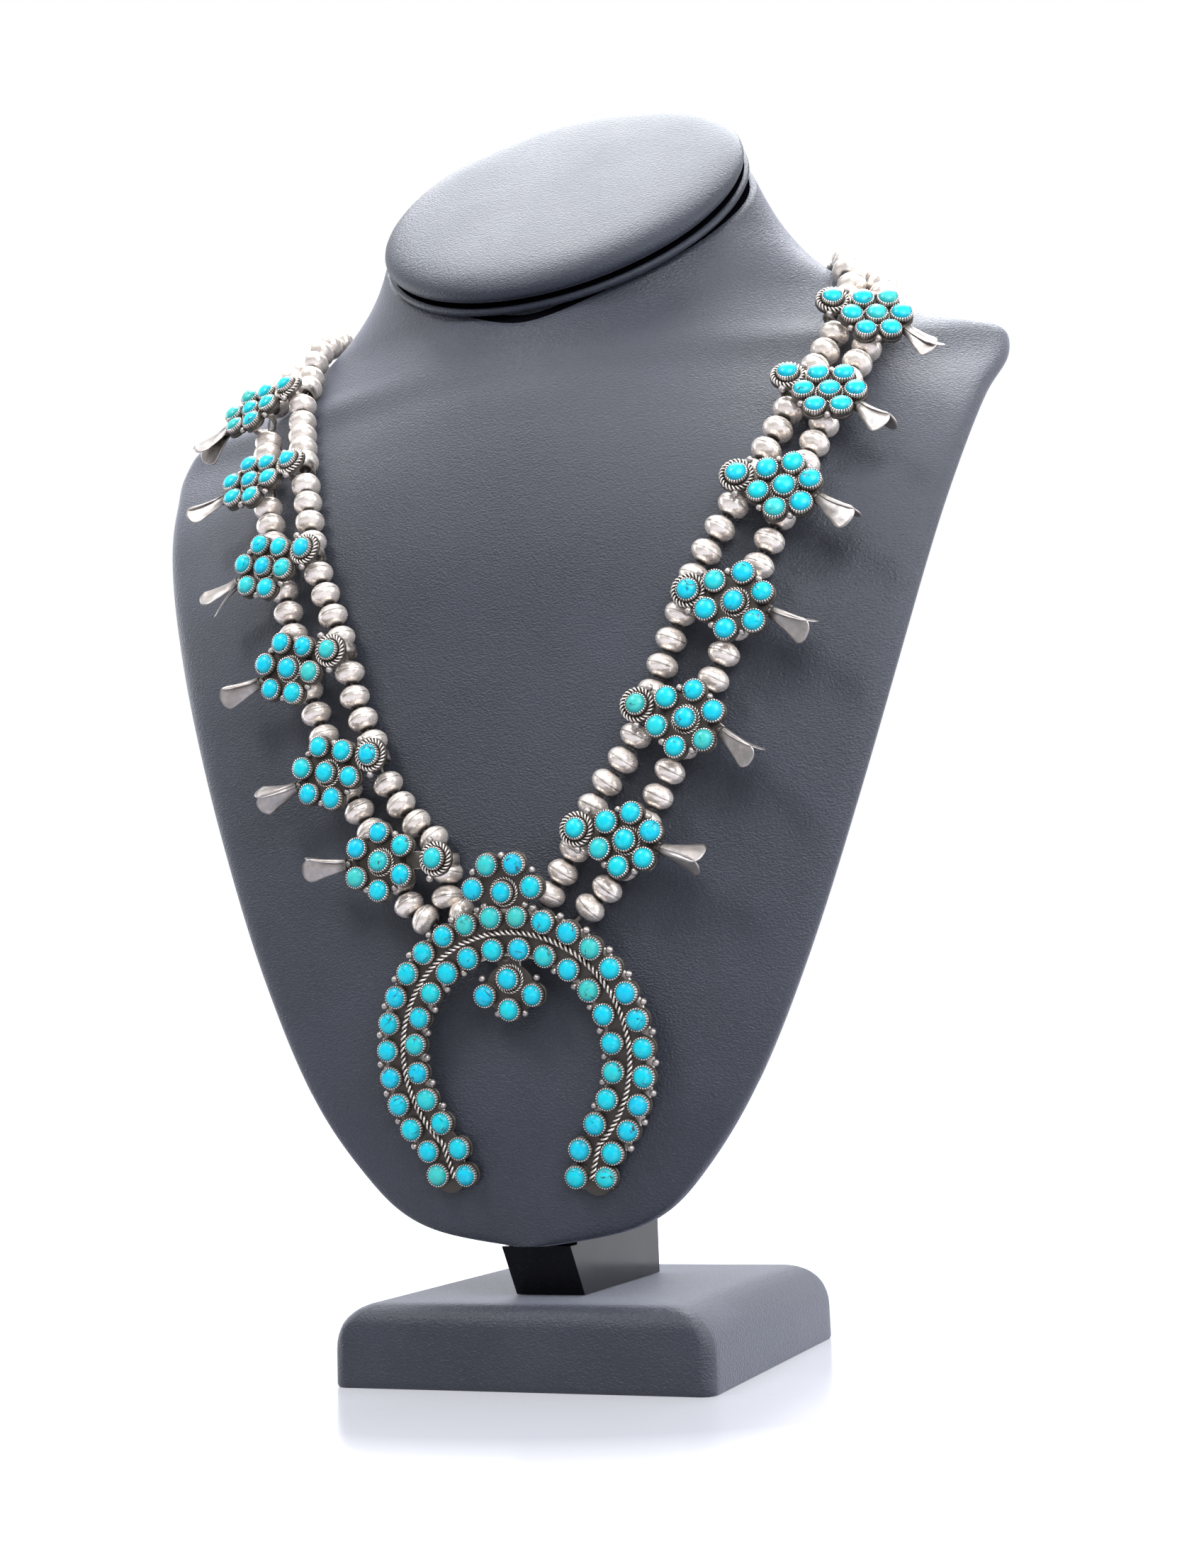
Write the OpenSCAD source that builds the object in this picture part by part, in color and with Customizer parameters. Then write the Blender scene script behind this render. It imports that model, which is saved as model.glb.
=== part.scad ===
// Squash blossom necklace lying on a neck bust stand.
// Millimetres. +Z is up, the front faces -Y, the origin is the middle of the base's underside.

/* [Base and pedestal] */
// width of the base from side to side
base_width = 100; // [70:1:150]
// depth of the base from front to back
base_depth = 106; // [70:1:150]
// height of the base
base_height = 20.3; // [12:0.1:40]
// radius of the base's long upper edges
base_round = 11; // [2:0.5:18]
// radius of the base's front and back upper edges
base_end_round = 4; // [1:0.5:10]
// width of the pedestal
pedestal_width = 18.6; // [10:0.2:40]
// where the pedestal's back stands
pedestal_back = 25; // [10:1:45]

/* [Neck cap] */
// half width of the cap
cap_half_width = 54; // [40:0.5:70]
// half length of the cap along its slope
cap_half_length = 50; // [36:0.5:66]
// tilt of the cap, from level
cap_tilt = 50; // [20:1:70]
// thickness of the puffed cap
cap_thick = 6.4; // [4:0.2:14]
// thickness of the thin plate below it
plate_thick = 2; // [1:0.1:5]
// height of the dark grooves
groove = 1.3; // [0.5:0.1:3]

/* [Stones and silver] */
// outside diameter of a bezel
bezel_dia = 5.6; // [4:0.1:8]
// wall of a bezel
bezel_wall = 0.35; // [0.2:0.05:0.8]
// height of a bezel above its plate
bezel_height = 2.1; // [1:0.1:4]
// thickness of the silver plates
silver_plate = 1; // [0.6:0.1:2]
// height of a cabochon's dome over its bezel
dome = 1.1; // [0.4:0.1:2]
// diameter of the small silver balls
ball_dia = 1.9; // [1:0.1:3]
// length of a blossom's forked tip
tip_reach = 12.5; // [6:0.5:20]

/* [Strands] */
// diameter of a silver bead
bead_dia = 7.9; // [5:0.1:10]
// length of a silver bead along its thread
bead_length = 6.2; // [4:0.1:9]
// bore through a bead
bead_bore = 3.4; // [1:0.1:4]
// diameter of the thread
thread_dia = 0.9; // [0.5:0.1:1.5]
// diameter of the wrapped cord behind the neck
wrap_dia = 2.4; // [1:0.1:4]
// height of the thread over the bust
thread_lift = 4.25; // [3:0.05:6]
// length of a blossom's sleeve along the thread
sleeve_length = 2.8; // [1:0.1:8]
// height of a blossom's plate over its threads
plate_lift = 5.2; // [4:0.05:6]

/* [Naja] */
// radius of the rope between the two rows
naja_radius = 30.3; // [24:0.1:40]
// radius of the outer row of stones
outer_radius = 34.2; // [26:0.1:44]
// radius of the inner row of stones
inner_radius = 26.4; // [20:0.1:36]
// stones of the outer row on the round part
outer_count = 24; // [12:2:30]
// stones of the inner row on the round part
inner_count = 18; // [8:2:26]
// height of the naja's tips over the base's underside
naja_height = 46.5; // [40:0.5:60]
// tilt of the naja, its top standing forward
naja_tilt = 8.5; // [0:0.5:15]
// shift of the naja to the right
naja_shift = 0.6; // [-6:0.1:6]

/* [Hidden] */
$fn = 48;
leather = [0.1, 0.1, 0.11];
gloss = [0.02, 0.02, 0.02];
silver = [0.72, 0.7, 0.66];
turquoise = [0.1, 0.66, 0.68];
cord_grey = [0.35, 0.34, 0.33];
gap = 0.2;

// bust sections from the bottom up
// [height, half width, middle depth, half rim, front bulge, back bulge, spread, sharpness]
bust_rows = [
  [33.5, 5, -38.5, 2.5, 3, 1, 2, 0.8],
  [36, 23, -38.8, 2.5, 3, 2, 2, 0.8],
  [41, 35, -39.2, 2.7, 3, 3.5, 2, 0.8],
  [51, 45.6, -40, 2.8, 3, 4, 2, 0.8],
  [70, 59.3, -41.2, 3, 3, 6.5, 2, 0.8],
  [101, 74, -40.6, 3, 3.2, 9, 2, 0.8],
  [140, 88.3, -38.4, 3, 4.2, 12.5, 2, 0.8],
  [177, 100.2, -34.3, 3, 7, 19.5, 2, 0.8],
  [207, 109.1, -28, 3.5, 12.3, 27.4, 2, 1.2],
  [231, 116.2, -18.5, 4, 18.5, 31.5, 1.9, 1.6],
  [245, 120, -9, 4.5, 24.5, 28.5, 1.8, 1.8],
  [257, 124, 1.5, 5, 31, 22.5, 1.7, 1.8],
  [265, 122.8, 7, 6, 32.5, 18, 1.7, 1.7],
  [272, 103.9, 10.6, 6, 33.6, 16.4, 1.7, 1.4],
  [286, 81.8, 15, 6, 32.5, 14, 1.8, 1],
  [300, 66.7, 16.8, 3, 33, 16.2, 2, 0.6],
  [315, 57.6, 13, 1, 32, 21.5, 2, 0.5],
  [340, 50, 7, 1, 33, 26.5, 2, 0.5],
  [368, 50, 0.7, 1, 33.3, 32.3, 2, 0.5]];
// rings of the bust up to where the shoulders start
bust_levels = [33.5, 34.1, 35, 36.5, 38.5, 41, 44.5, 49, 55, 62, 70, 80, 90, 101, 112, 124, 137, 150, 163,
  175, 186, 196, 205, 213, 221, 228, 234, 240];
bust_upper = 32;
bust_sides = 44;

// each strand on the chest: [height, distance to the right of the middle]
strand_rows = [
  // inner left
  [[120.5, -16.2], [125, -16.2], [129.5, -15.9], [134, -18.6], [140.5, -25.5], [152, -33.5], [162.5, -37.5],
   [174, -42.5], [186, -45.3], [200, -50.5], [214, -56], [229, -60.2], [243, -65.3], [257, -71.2],
   [268, -74], [278, -76.6]],
  // outer left
  [[112.5, -17], [117.5, -26], [129, -31.2], [143, -40.5], [157, -48.5], [172, -54.6], [187, -60],
   [203, -64.5], [219, -70.2], [235, -76.5], [248, -81.8], [260, -86], [271, -88.7]],
  // inner right
  [[118.5, 11.2], [130, 18.6], [142.5, 24.8], [154, 33.5], [168, 40], [183, 45.8], [198, 52], [212, 60],
   [227, 68], [241, 73.6], [255, 78.8], [266, 81.4], [278, 82.4]],
  // outer right
  [[114.5, 21.2], [120, 27], [131, 34.6], [146, 42.8], [160, 50.5], [175, 57.8], [189.5, 63.7],
   [204.5, 70.2], [222, 77.4], [237, 83], [253, 88.2], [264, 91.3], [271, 92]]];
// each strand over the shoulder and round the back of the neck: [right, back, up]
neck_rows = [
  [[-78, -2, 284.3], [-78.5, 4.5, 290.8], [-77, 13, 295.6], [-73, 22, 298], [-66, 28.9, 298],
   [-53, 34, 296], [-35, 37.7, 294], [-18, 39.9, 292.5], [-7, 41.3, 291.5]],
  [[-88.7, -1.5, 278], [-88.2, 5.4, 284.4], [-86, 13.7, 288.5], [-81, 22.7, 290.3], [-74, 28, 289.2],
   [-56, 32.8, 286.2], [-37, 36.3, 284.5], [-19, 39.1, 283.5], [-7, 41.3, 283]],
  [[82.3, 1, 284.6], [81.2, 7.5, 290.5], [78.5, 15, 294.6], [74, 22.8, 296.9], [67, 28.7, 296.8],
   [52, 34.3, 295.2], [35, 37.7, 293.7], [18, 39.9, 292.4], [7, 41.3, 291.5]],
  [[91.6, 0, 278], [90.3, 7.5, 284.1], [87.3, 16, 287.5], [82, 23.9, 288.6], [74, 28.2, 287.2],
   [56, 32.8, 285.2], [37, 36.3, 284], [19, 39.1, 283.3], [7, 41.3, 283]]];
// blossoms from the top down: [height on the inner strand, height on the outer strand, droop of the tip,
// tilt of the plate, way from the middle stone to the stones round it, way to the roped stone]
blossom_rows_left = [[271, 264, 27, 4, 6.8, 12.6], [242, 236.8, 13, 4, 6.8, 12.6],
  [214.3, 211, 15, 2, 6.8, 12.8], [186.5, 182.8, 3, 0, 7.2, 12.9], [157.3, 154, 0, 0, 7.2, 13.1],
  [129.6, 129.8, 4, 0, 7.4, 15.4]];
blossom_rows_right = [[267.5, 262.5, 23, 0, 6.4, 12.6], [243.5, 238.2, 19, 0, 6.5, 12.6],
  [218, 213.8, 22, 0, 6.5, 12.6], [191.4, 186.7, 13, 0, 7.2, 12.2], [163.5, 159, 22, 0, 7.2, 13.1],
  [134.5, 130.6, 4, 0, 6.7, 13.3]];
// lowest point of each thread behind the naja: [right, up]
thread_low = [[1.5, 114], [1.5, 107]];
// closest and widest spacing of the beads
bead_pitch = [6.35, 6.8];
// beads that show between two blossoms on the outer strands
outer_fill = 2;
// beads below the lowest blossom, and the first one's distance from its sleeve
low_fill = [[2, 4.6], [2, 7], [3, 0.3], [2, 8.5]];
// beads over the shoulder, past the top blossom, and the first one's distance from its sleeve
top_fill = [[5, 1], [5, 0.8], [5, 1], [5, 1]];

// straight tails of the naja: [right, up] of the outer and inner stones there
tail_outer = [[22.4, 0.6]];
tail_inner = [[16.2, 7.3], [14.7, 0.7]];
// cluster over the naja and drop in its gap: [right, up]
cluster_stones = [[0, 70.6], [-3.6, 77.4], [3.6, 77.4], [-7.9, 71.6], [7.9, 71.6]];
drop_stones = [[0, 49.2], [-6.4, 45.2], [0, 41.7], [6.4, 45.2]];
cluster_balls = [[0, 79.5], [-7.9, 75.7], [7.9, 75.7], [-5.4, 67.2], [5.4, 67.2]];
drop_balls = [[-3.6, 40.6], [3.6, 40.6], [-7.3, 49.3], [7.3, 49.3]];

stone_dia = bezel_dia - 2 * bezel_wall - 0.2;
stone_base = silver_plate + 0.1;
stone_top = silver_plate + bezel_height + dome;
cap_normal = [0, -sin(cap_tilt), cos(cap_tilt)];
neck_middle = [0, 7.6, 317.1];

// numbers along a table, smoothed without overshoot
function steps(t, c, i) = (t[i + 1][c] - t[i][c]) / (t[i + 1][0] - t[i][0]);
function slope(t, c, i) =
  i == 0 ? steps(t, c, 0) : i == len(t) - 1 ? steps(t, c, i - 1) :
  let (a = steps(t, c, i - 1), b = steps(t, c, i), h = t[i][0] - t[i - 1][0], k = t[i + 1][0] - t[i][0])
  a * b <= 0 ? 0 : 3 * (h + k) / ((2 * k + h) / a + (k + 2 * h) / b);
function slopes(t) = [for (i = [0 : len(t) - 1])
  [for (c = [0 : len(t[0]) - 1]) c == 0 ? 1 : slope(t, c, i)]];
function band(t, z, i = 0) = i >= len(t) - 2 || z < t[i + 1][0] ? i : band(t, z, i + 1);
function row_at(t, m, z) =
  let (i = band(t, z), h = t[i + 1][0] - t[i][0], u = (z - t[i][0]) / h, p = u * u, q = p * u)
  (2 * q - 3 * p + 1) * t[i] + (q - 2 * p + u) * h * m[i] + (3 * p - 2 * q) * t[i + 1]
    + (q - p) * h * m[i + 1];
bust_slopes = slopes(bust_rows);
function bust_row(z) = row_at(bust_rows, bust_slopes, z);

// the bust's surface
function rim(t) = sqrt(max(0, 1 - pow(abs(t), 50)));
function bulge(r, t) = pow(max(0, 1 - pow(abs(t), r[6])), r[7]);
function front_y(x, z) =
  let (r = bust_row(z), t = min(1, abs(x) / r[1])) r[2] - r[3] * rim(t) - r[4] * bulge(r, t);
function side_point(a, z) =
  let (r = bust_row(z), t = -cos(a), s = a < 180 ? -1 : 1, b = a < 180 ? r[4] : r[5])
  [r[1] * t, r[2] + s * (r[3] * rim(t) + b * bulge(r, t)), z];
function cut_height(a, z, n = 14) =
  n == 0 ? z : cut_height(a, neck_middle[2] + (side_point(a, z)[1] - neck_middle[1]) * tan(cap_tilt), n - 1);
function on_chest(x, z, h) =
  let (e = 0.4, n = [(front_y(x + e, z) - front_y(x - e, z)) / (2 * e), -1,
    (front_y(x, z + e) - front_y(x, z - e)) / (2 * e)])
  [x, front_y(x, z), z] + h * n / norm(n);

// curves
function unit(v) = v / norm(v);
function spline(p, i, u) =
  let (n = len(p) - 1, a = p[max(0, i - 1)], b = p[i], c = p[min(n, i + 1)], d = p[min(n, i + 2)])
  0.5 * (2 * b + (c - a) * u + (2 * a - 5 * b + 4 * c - d) * u * u + (3 * b - a - 3 * c + d) * u * u * u);
function running(p, i = 0, s = 0, out = []) =
  i >= len(p) ? out : running(p, i + 1, i + 1 < len(p) ? s + norm(p[i + 1] - p[i]) : s, concat(out, [s]));
function find(s, v, lo, hi) = hi - lo <= 1 ? lo :
  let (m = floor((lo + hi) / 2)) s[m] <= v ? find(s, v, m, hi) : find(s, v, lo, m);
function along(c, v) = let (i = find(c[1], v, 0, len(c[1]) - 1), u = (v - c[1][i]) / (c[1][i + 1] - c[1][i]))
  c[0][i] + u * (c[0][i + 1] - c[0][i]);
function heading(c, v) = unit(along(c, v + 1) - along(c, v - 1));
function curve(p) = [p, running(p)];
function height_place(c, z, i = 0) = c[0][i][2] > z ?
  let (a = c[0][max(0, i - 1)][2], b = c[0][i][2]) c[1][max(0, i - 1)]
    + (b > a ? (z - a) / (b - a) : 0) * (c[1][i] - c[1][max(0, i - 1)]) : height_place(c, z, i + 1);

// one strand: from the low point behind the naja, up the chest, over the shoulder to the clasp
strand_step = 2.5;
function chest_x(k, z) = row_at(strand_rows[k], slopes(strand_rows[k]), z)[1];
function chest_part(k) = let (t = strand_rows[k], m = slopes(t), a = t[0][0], b = t[len(t) - 1][0],
    n = round((b - a) / strand_step))
  [for (i = [0 : n]) let (z = a + (b - a) * i / n) on_chest(row_at(t, m, z)[1], z, thread_lift)];
function low_point(k) = let (q = thread_low[k % 2]) on_chest(q[0], q[1], thread_lift);
function neck_part(k, chest) = let (n = len(chest), p = concat([chest[n - 4], chest[n - 1]], neck_rows[k]))
  [for (i = [1 : len(p) - 2]) for (u = [0.2 : 0.2 : 1]) spline(p, i, u)];
function low_part(k, chest) = let (a = low_point(k), b = chest[0], d = unit(chest[1] - chest[0]),
    reach = norm(b - a), e = [sign(b[0] - a[0]), 0, 0])
  [for (u = [0 : 0.125 : 0.9]) let (v = 1 - u)
    v * v * v * a + 3 * v * v * u * (a + e * reach * 0.4) + 3 * v * u * u * (b - d * reach * 0.28)
      + u * u * u * b];
strand_curves = [for (k = [0 : 3]) let (c = chest_part(k))
  curve(concat(low_part(k, c), c, neck_part(k, c)))];

// placing things
// frame of a blossom: x from the inner to the outer strand, z away from the bust
function blossom_frame(side, i) =
  let (q = blossom_row(side, i), ci = strand_curves[2 * side],
    co = strand_curves[2 * side + 1], si = height_place(ci, q[0]), so = height_place(co, q[1]),
    a = along(ci, si), b = along(co, so), x = unit(b - a), t = heading(ci, si) + heading(co, so),
    z0 = cross(x, t), z = unit(z0[1] > 0 ? -z0 : z0), y = cross(z, x))
  [b, x, y, z, norm(b - a), -atan2(heading(ci, si) * x, heading(ci, si) * y),
    -atan2(heading(co, so) * x, heading(co, so) * y)];
module at_frame(f) {
  multmatrix([[f[1][0], f[2][0], f[3][0], f[0][0]], [f[1][1], f[2][1], f[3][1], f[0][1]],
    [f[1][2], f[2][2], f[3][2], f[0][2]], [0, 0, 0, 1]]) children();
}
function bail_places(k) = let (side = floor(k / 2), t = side == 0 ? blossom_rows_left : blossom_rows_right)
  [for (i = [5 : -1 : 0]) height_place(strand_curves[k], t[i][k % 2])];
naja_bail_x = [3.4, 6];
function naja_place(k) = let (c = strand_curves[k], want = naja_bail_x[k % 2])
  [for (i = [1 : len(c[0]) - 1]) if (abs(c[0][i][0] - naja_shift) >= want) c[1][i]][0];
function spread(a, b, n, pitch) = [for (i = [0 : n - 1]) (a + b) / 2 + (i - (n - 1) / 2) * pitch];
function filled(a, b, k) = let (room = b - a - sleeve_length, n = floor(room / bead_pitch[0]),
    pitch = min(bead_pitch[1], room / n)) spread(a, b, k % 2 == 0 ? n : min(n, outer_fill), pitch);
function bead_places(k) = let (p = bail_places(k), edge = (sleeve_length + bead_length) / 2)
  concat([for (i = [low_fill[k][0] - 1 : -1 : 0]) p[0] - edge - low_fill[k][1] - i * bead_pitch[0]],
    [for (i = [0 : 4]) each filled(p[i], p[i + 1], k)],
    [for (i = [0 : top_fill[k][0] - 1]) p[5] + edge + top_fill[k][1] + (i + (k % 2)) * bead_pitch[0]]);

// bust stand
module long_profile() {
  translate([-base_width / 2, -base_depth / 2, 0]) cube([base_width, base_depth, base_height - base_round]);
  translate([base_round - base_width / 2, -base_depth / 2, 0])
    cube([base_width - 2 * base_round, base_depth, base_height]);
  for (s = [-1, 1]) translate([s * (base_width / 2 - base_round), base_depth / 2, base_height - base_round])
    rotate([90, 0, 0]) cylinder(r = base_round, h = base_depth);
}
module end_profile() {
  w = base_width + 2;
  translate([-w / 2, -base_depth / 2, 0]) cube([w, base_depth, base_height - base_end_round]);
  translate([-w / 2, base_end_round - base_depth / 2, 0])
    cube([w, base_depth - 2 * base_end_round, base_height]);
  for (s = [-1, 1]) translate([-w / 2, s * (base_depth / 2 - base_end_round), base_height - base_end_round])
    rotate([0, 90, 0]) cylinder(r = base_end_round, h = w);
}
module base() color(leather) intersection() { long_profile(); end_profile(); }

module pedestal() color(gloss)
  translate([-pedestal_width / 2, 0, 0]) rotate([90, 0, 90]) linear_extrude(pedestal_width)
    polygon([[-30, base_height + gap], [-38.6, 33.2], [-34.2, 33.2], [-32.6, 41], [-32.9, 51], [-31.2, 70],
      [pedestal_back - 6, 62], [pedestal_back, 50], [pedestal_back, base_height + gap]]);

// a skin through rings of points that all have the same count
module skin(rings) {
  n = len(rings[0]);
  m = len(rings);
  polyhedron(points = [for (r = rings) each r], faces = concat(
    [[for (j = [0 : n - 1]) j]],
    [for (i = [0 : m - 2]) for (j = [0 : n - 1]) [i * n + j, (i + 1) * n + j, (i + 1) * n + (j + 1) % n]],
    [for (i = [0 : m - 2]) for (j = [0 : n - 1])
      [i * n + j, (i + 1) * n + (j + 1) % n, i * n + (j + 1) % n]],
    [[for (j = [n - 1 : -1 : 0]) (m - 1) * n + j]]));
}
module bust_torso() {
  step = 360 / bust_sides;
  top = bust_levels[len(bust_levels) - 1];
  cuts = [for (j = [0 : bust_sides - 1]) cut_height(j * step, 310)];
  color(leather) skin(concat(
    [for (z = bust_levels) [for (j = [0 : bust_sides - 1]) side_point(j * step, z)]],
    [for (i = [1 : bust_upper]) [for (j = [0 : bust_sides - 1])
      let (c = cuts[j]) side_point(j * step, top + (c - top) * i / bust_upper)]]));
}
// discs on the neck: [height over the neck, share of the full size]
function disc_ring(h, k) = [for (j = [0 : 47]) let (a = j * 7.5)
  neck_middle + [cap_half_width * k * cos(a), 0, 0]
  + cap_half_length * k * sin(a) * [0, cos(cap_tilt), sin(cap_tilt)] + h * cap_normal];
plate_rows = [[gap, 0.93], [groove, 0.93], [groove, 0.995], [groove + 0.4, 1.005],
  [groove + plate_thick - 0.4, 1.005], [groove + plate_thick, 0.99]];
cap_low = groove * 2 + plate_thick;
cap_rows = [[cap_low - groove + gap, 0.93], [cap_low, 0.93], [cap_low, 0.965], [cap_low + 0.8, 0.99],
  [cap_low + 2.2, 1], [cap_low + cap_thick - 3, 1], [cap_low + cap_thick - 1.6, 0.985],
  [cap_low + cap_thick - 0.6, 0.955], [cap_low + cap_thick - 0.1, 0.9],
  [cap_low + cap_thick + 0.2, 0.75], [cap_low + cap_thick + 0.3, 0.45]];
module neck_plate() color(leather) skin([for (r = plate_rows) disc_ring(r[0], r[1])]);
module neck_cap() color(leather) skin([for (r = cap_rows) disc_ring(r[0], r[1])]);

// stones and settings, standing on a plate whose underside is z = 0
module cabochon() {
  h = stone_top - stone_base;
  r = stone_dia / 2;
  ball = (r * r + 1.5 * 1.5) / 3;
  translate([0, 0, stone_base]) intersection() {
    cylinder(r = r, h = h);
    translate([0, 0, h - ball]) sphere(r = ball);
  }
}
module bezel() {
  translate([0, 0, silver_plate - 0.05]) difference() {
    cylinder(d = bezel_dia, h = bezel_height);
    translate([0, 0, 0.05]) cylinder(d = bezel_dia - 2 * bezel_wall, h = bezel_height);
  }
}
module pad(r) cylinder(r = r, h = silver_plate);
module rope_ring(r, wire) translate([0, 0, silver_plate + wire * 0.3]) rotate_extrude()
  translate([r, 0]) circle(r = wire, $fn = 24);
module ball() sphere(d = ball_dia);
// sleeve for a thread that runs along y, under the plate
module sleeve(length) translate([0, length / 2, -3.55]) rotate([90, 0, 0]) difference() {
  cylinder(r = 3.85, h = length);
  translate([0, 0, -1]) cylinder(r = 3.15, h = length + 2);
}
function around(ring) = [for (i = [0 : 5]) ring * [cos(30 + 60 * i), sin(30 + 60 * i)]];

// one petal of the forked tip: a fan cut from a bent sheet
module petal(bend, side, from, reach) {
  intersection() {
    translate([from, 6, side * bend]) rotate([90, 0, 0]) difference() {
      cylinder(r = bend + 0.25, h = 12, $fn = 96);
      translate([0, 0, -1]) cylinder(r = bend - 0.25, h = 14, $fn = 96);
    }
    translate([0, 0, -8]) linear_extrude(16) polygon([[from - 0.4, -1.6], [from + 2, -1.6],
      [from + reach * 0.45, -2], [from + reach * 0.75, -3], [from + reach * 0.93, -3.9],
      [from + reach, -3.5], [from + reach + 0.5, 0],
      [from + reach, 3.5], [from + reach * 0.93, 3.9], [from + reach * 0.75, 3], [from + reach * 0.45, 2],
      [from + 2, 1.6], [from - 0.4, 1.6]]);
  }
}
// reach is the way between the two threads, row the blossom's row of numbers
module blossom_silver(reach, row, turn, inner_turn, outer_turn) {
  ring = row[4];
  roped = row[5];
  pad(7.4);
  for (p = around(ring)) translate(p) { pad(3.25); bezel(); }
  bezel();
  rope_ring(3.12, 0.35);
  translate([-roped, 0, 0]) { pad(4.5); bezel(); rope_ring(3.75, 0.7); }
  translate([-roped + 3.4, -2.2, 0]) cube([roped - 8.6, 4.4, silver_plate]);
  for (a = [60, 120, 240, 300]) rotate(a) translate([7.9, 0, silver_plate]) ball();
  for (s = [-1, 1]) translate([-roped + 1.6, s * 4.9, silver_plate]) ball();
  translate([ring + 1.6, 0, 0]) rotate([0, 0, turn]) translate([-7.95, 0, 0]) {
    translate([4.8, -1.3, 0]) cube([4.6, 2.6, silver_plate]);
    translate([8.8, 0, 0.9]) rotate([0, 90, 0]) cylinder(r1 = 1.2, r2 = 1.6, h = 2);
    translate([0, 0, 1.15]) petal(22, 1, 9, tip_reach - 1);
    translate([0, 0, 0.8]) petal(36, -1, 9, tip_reach - 1.6);
  }
  rotate([0, 0, outer_turn]) sleeve(sleeve_length);
  translate([-reach, 0, 0]) rotate([0, 0, inner_turn]) sleeve(sleeve_length);
}
function blossom_row(side, i) = (side == 0 ? blossom_rows_left : blossom_rows_right)[i];
module blossom_place(side, i) {
  f = blossom_frame(side, i);
  at_frame([f[0] + plate_lift * f[3], f[1], f[2], f[3]]) translate([-f[4] / 2, 0, 0])
    rotate([0, -blossom_row(side, i)[3], 0]) translate([f[4] / 2, 0, 0]) children();
}
module blossom(side, i) color(silver) blossom_place(side, i)
  let (f = blossom_frame(side, i), q = blossom_row(side, i))
  blossom_silver(f[4], q, side == 0 ? q[2] : -q[2], f[5], f[6]);
module blossom_stones(side, i) color(turquoise) blossom_place(side, i) let (q = blossom_row(side, i)) {
  cabochon();
  for (p = around(q[4])) translate(p) cabochon();
  translate([-q[5], 0, 0]) cabochon();
}

// naja
function row_angle(n, i) = 90 + (i - (n - 1) / 2) * (n == outer_count ? 11.65 : 15.2);
outer_places = concat([for (i = [0 : outer_count - 1]) outer_radius * [cos(row_angle(outer_count, i)),
    sin(row_angle(outer_count, i))] + [0, naja_radius]],
  [for (s = [-1, 1]) for (p = tail_outer) [s * p[0], p[1]]]);
inner_places = concat([for (i = [0 : inner_count - 1]) inner_radius * [cos(row_angle(inner_count, i)),
    sin(row_angle(inner_count, i))] + [0, naja_radius]],
  [for (s = [-1, 1]) for (p = tail_inner) [s * p[0], p[1]]]);
middle_places = concat(cluster_stones, drop_stones);
naja_sweep = 268;
module naja_place_at() translate([naja_shift, -45.3 - gap, naja_height]) rotate([90 + naja_tilt, 0, 0])
  rotate([0, 0, naja_turn]) translate([0, naja_drop, 0]) children();
module tail_bar(s) {
  for (q = [0, 1]) translate([s * (20.9 - q * 1.2), 8 - q * 8, 0]) pad(4.2);
  translate([s * 19.6, 3, 0]) translate([-4, -5.5, 0]) cube([8, 12, silver_plate]);
}
module naja() color(silver) naja_place_at() {
  translate([0, naja_radius, 0]) rotate([0, 0, 90 - naja_sweep / 2])
    rotate_extrude(angle = naja_sweep, $fn = 96) translate([naja_radius - 6, 0]) square([12, silver_plate]);
  for (p = outer_places) translate(p) { pad(3.3); bezel(); }
  for (p = inner_places) translate(p) { pad(3.3); bezel(); }
  for (p = middle_places) translate(p) { pad(3.4); bezel(); }
  for (s = [-1, 1]) tail_bar(s);
  translate([0, 71, 0]) pad(7);
  translate([0, 46.5, 0]) pad(6.5);
  translate([-3, 50, 0]) cube([6, 6, silver_plate]);
  for (p = [[0, 70.6], [0, 49.2]]) translate(p) rope_ring(3.12, 0.4);
  for (p = concat(cluster_balls, drop_balls)) translate([p[0], p[1], silver_plate]) ball();
  for (i = [0 : outer_count - 2]) let (a = row_angle(outer_count, i + 0.5))
    if (abs(a - 90) > 9) translate([36.8 * cos(a), naja_radius + 36.8 * sin(a), silver_plate]) ball();
  for (i = [0 : inner_count - 2]) let (a = row_angle(inner_count, i + 0.5))
    if (abs(a - 90) > 16) translate([23.8 * cos(a), naja_radius + 23.8 * sin(a), silver_plate]) ball();
  translate([0, naja_radius, silver_plate + 0.3]) rotate([0, 0, 90 - naja_sweep / 2])
    rotate_extrude(angle = naja_sweep, $fn = 96) translate([naja_radius, 0]) circle(r = 0.65, $fn = 24);
  for (k = [0 : 3]) naja_sleeve(k);
}
// sleeves behind the naja, one on each thread where it meets the plate
naja_turn = -1.5;
naja_drop = 4.2;
function naja_local(p) = let (q = p - [naja_shift, -45.3 - gap, naja_height], c = cos(naja_turn),
    d = sin(naja_turn), u = q[0], v = cos(naja_tilt) * q[2] - sin(naja_tilt) * q[1])
  [c * u + d * v, c * v - d * u - naja_drop];
module naja_sleeve(k) {
  s = naja_place(k);
  p = naja_local(along(strand_curves[k], s));
  q = naja_local(along(strand_curves[k], s + 1));
  translate([p[0], p[1], 0]) rotate([0, 0, atan2(q[1] - p[1], q[0] - p[0]) - 90]) sleeve(2.4);
}
module naja_stones_outer() color(turquoise) naja_place_at() for (p = outer_places) translate(p) cabochon();
module naja_stones_inner() color(turquoise) naja_place_at() for (p = inner_places) translate(p) cabochon();
module naja_stones_middle() color(turquoise) naja_place_at() for (p = middle_places) translate(p) cabochon();

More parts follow.
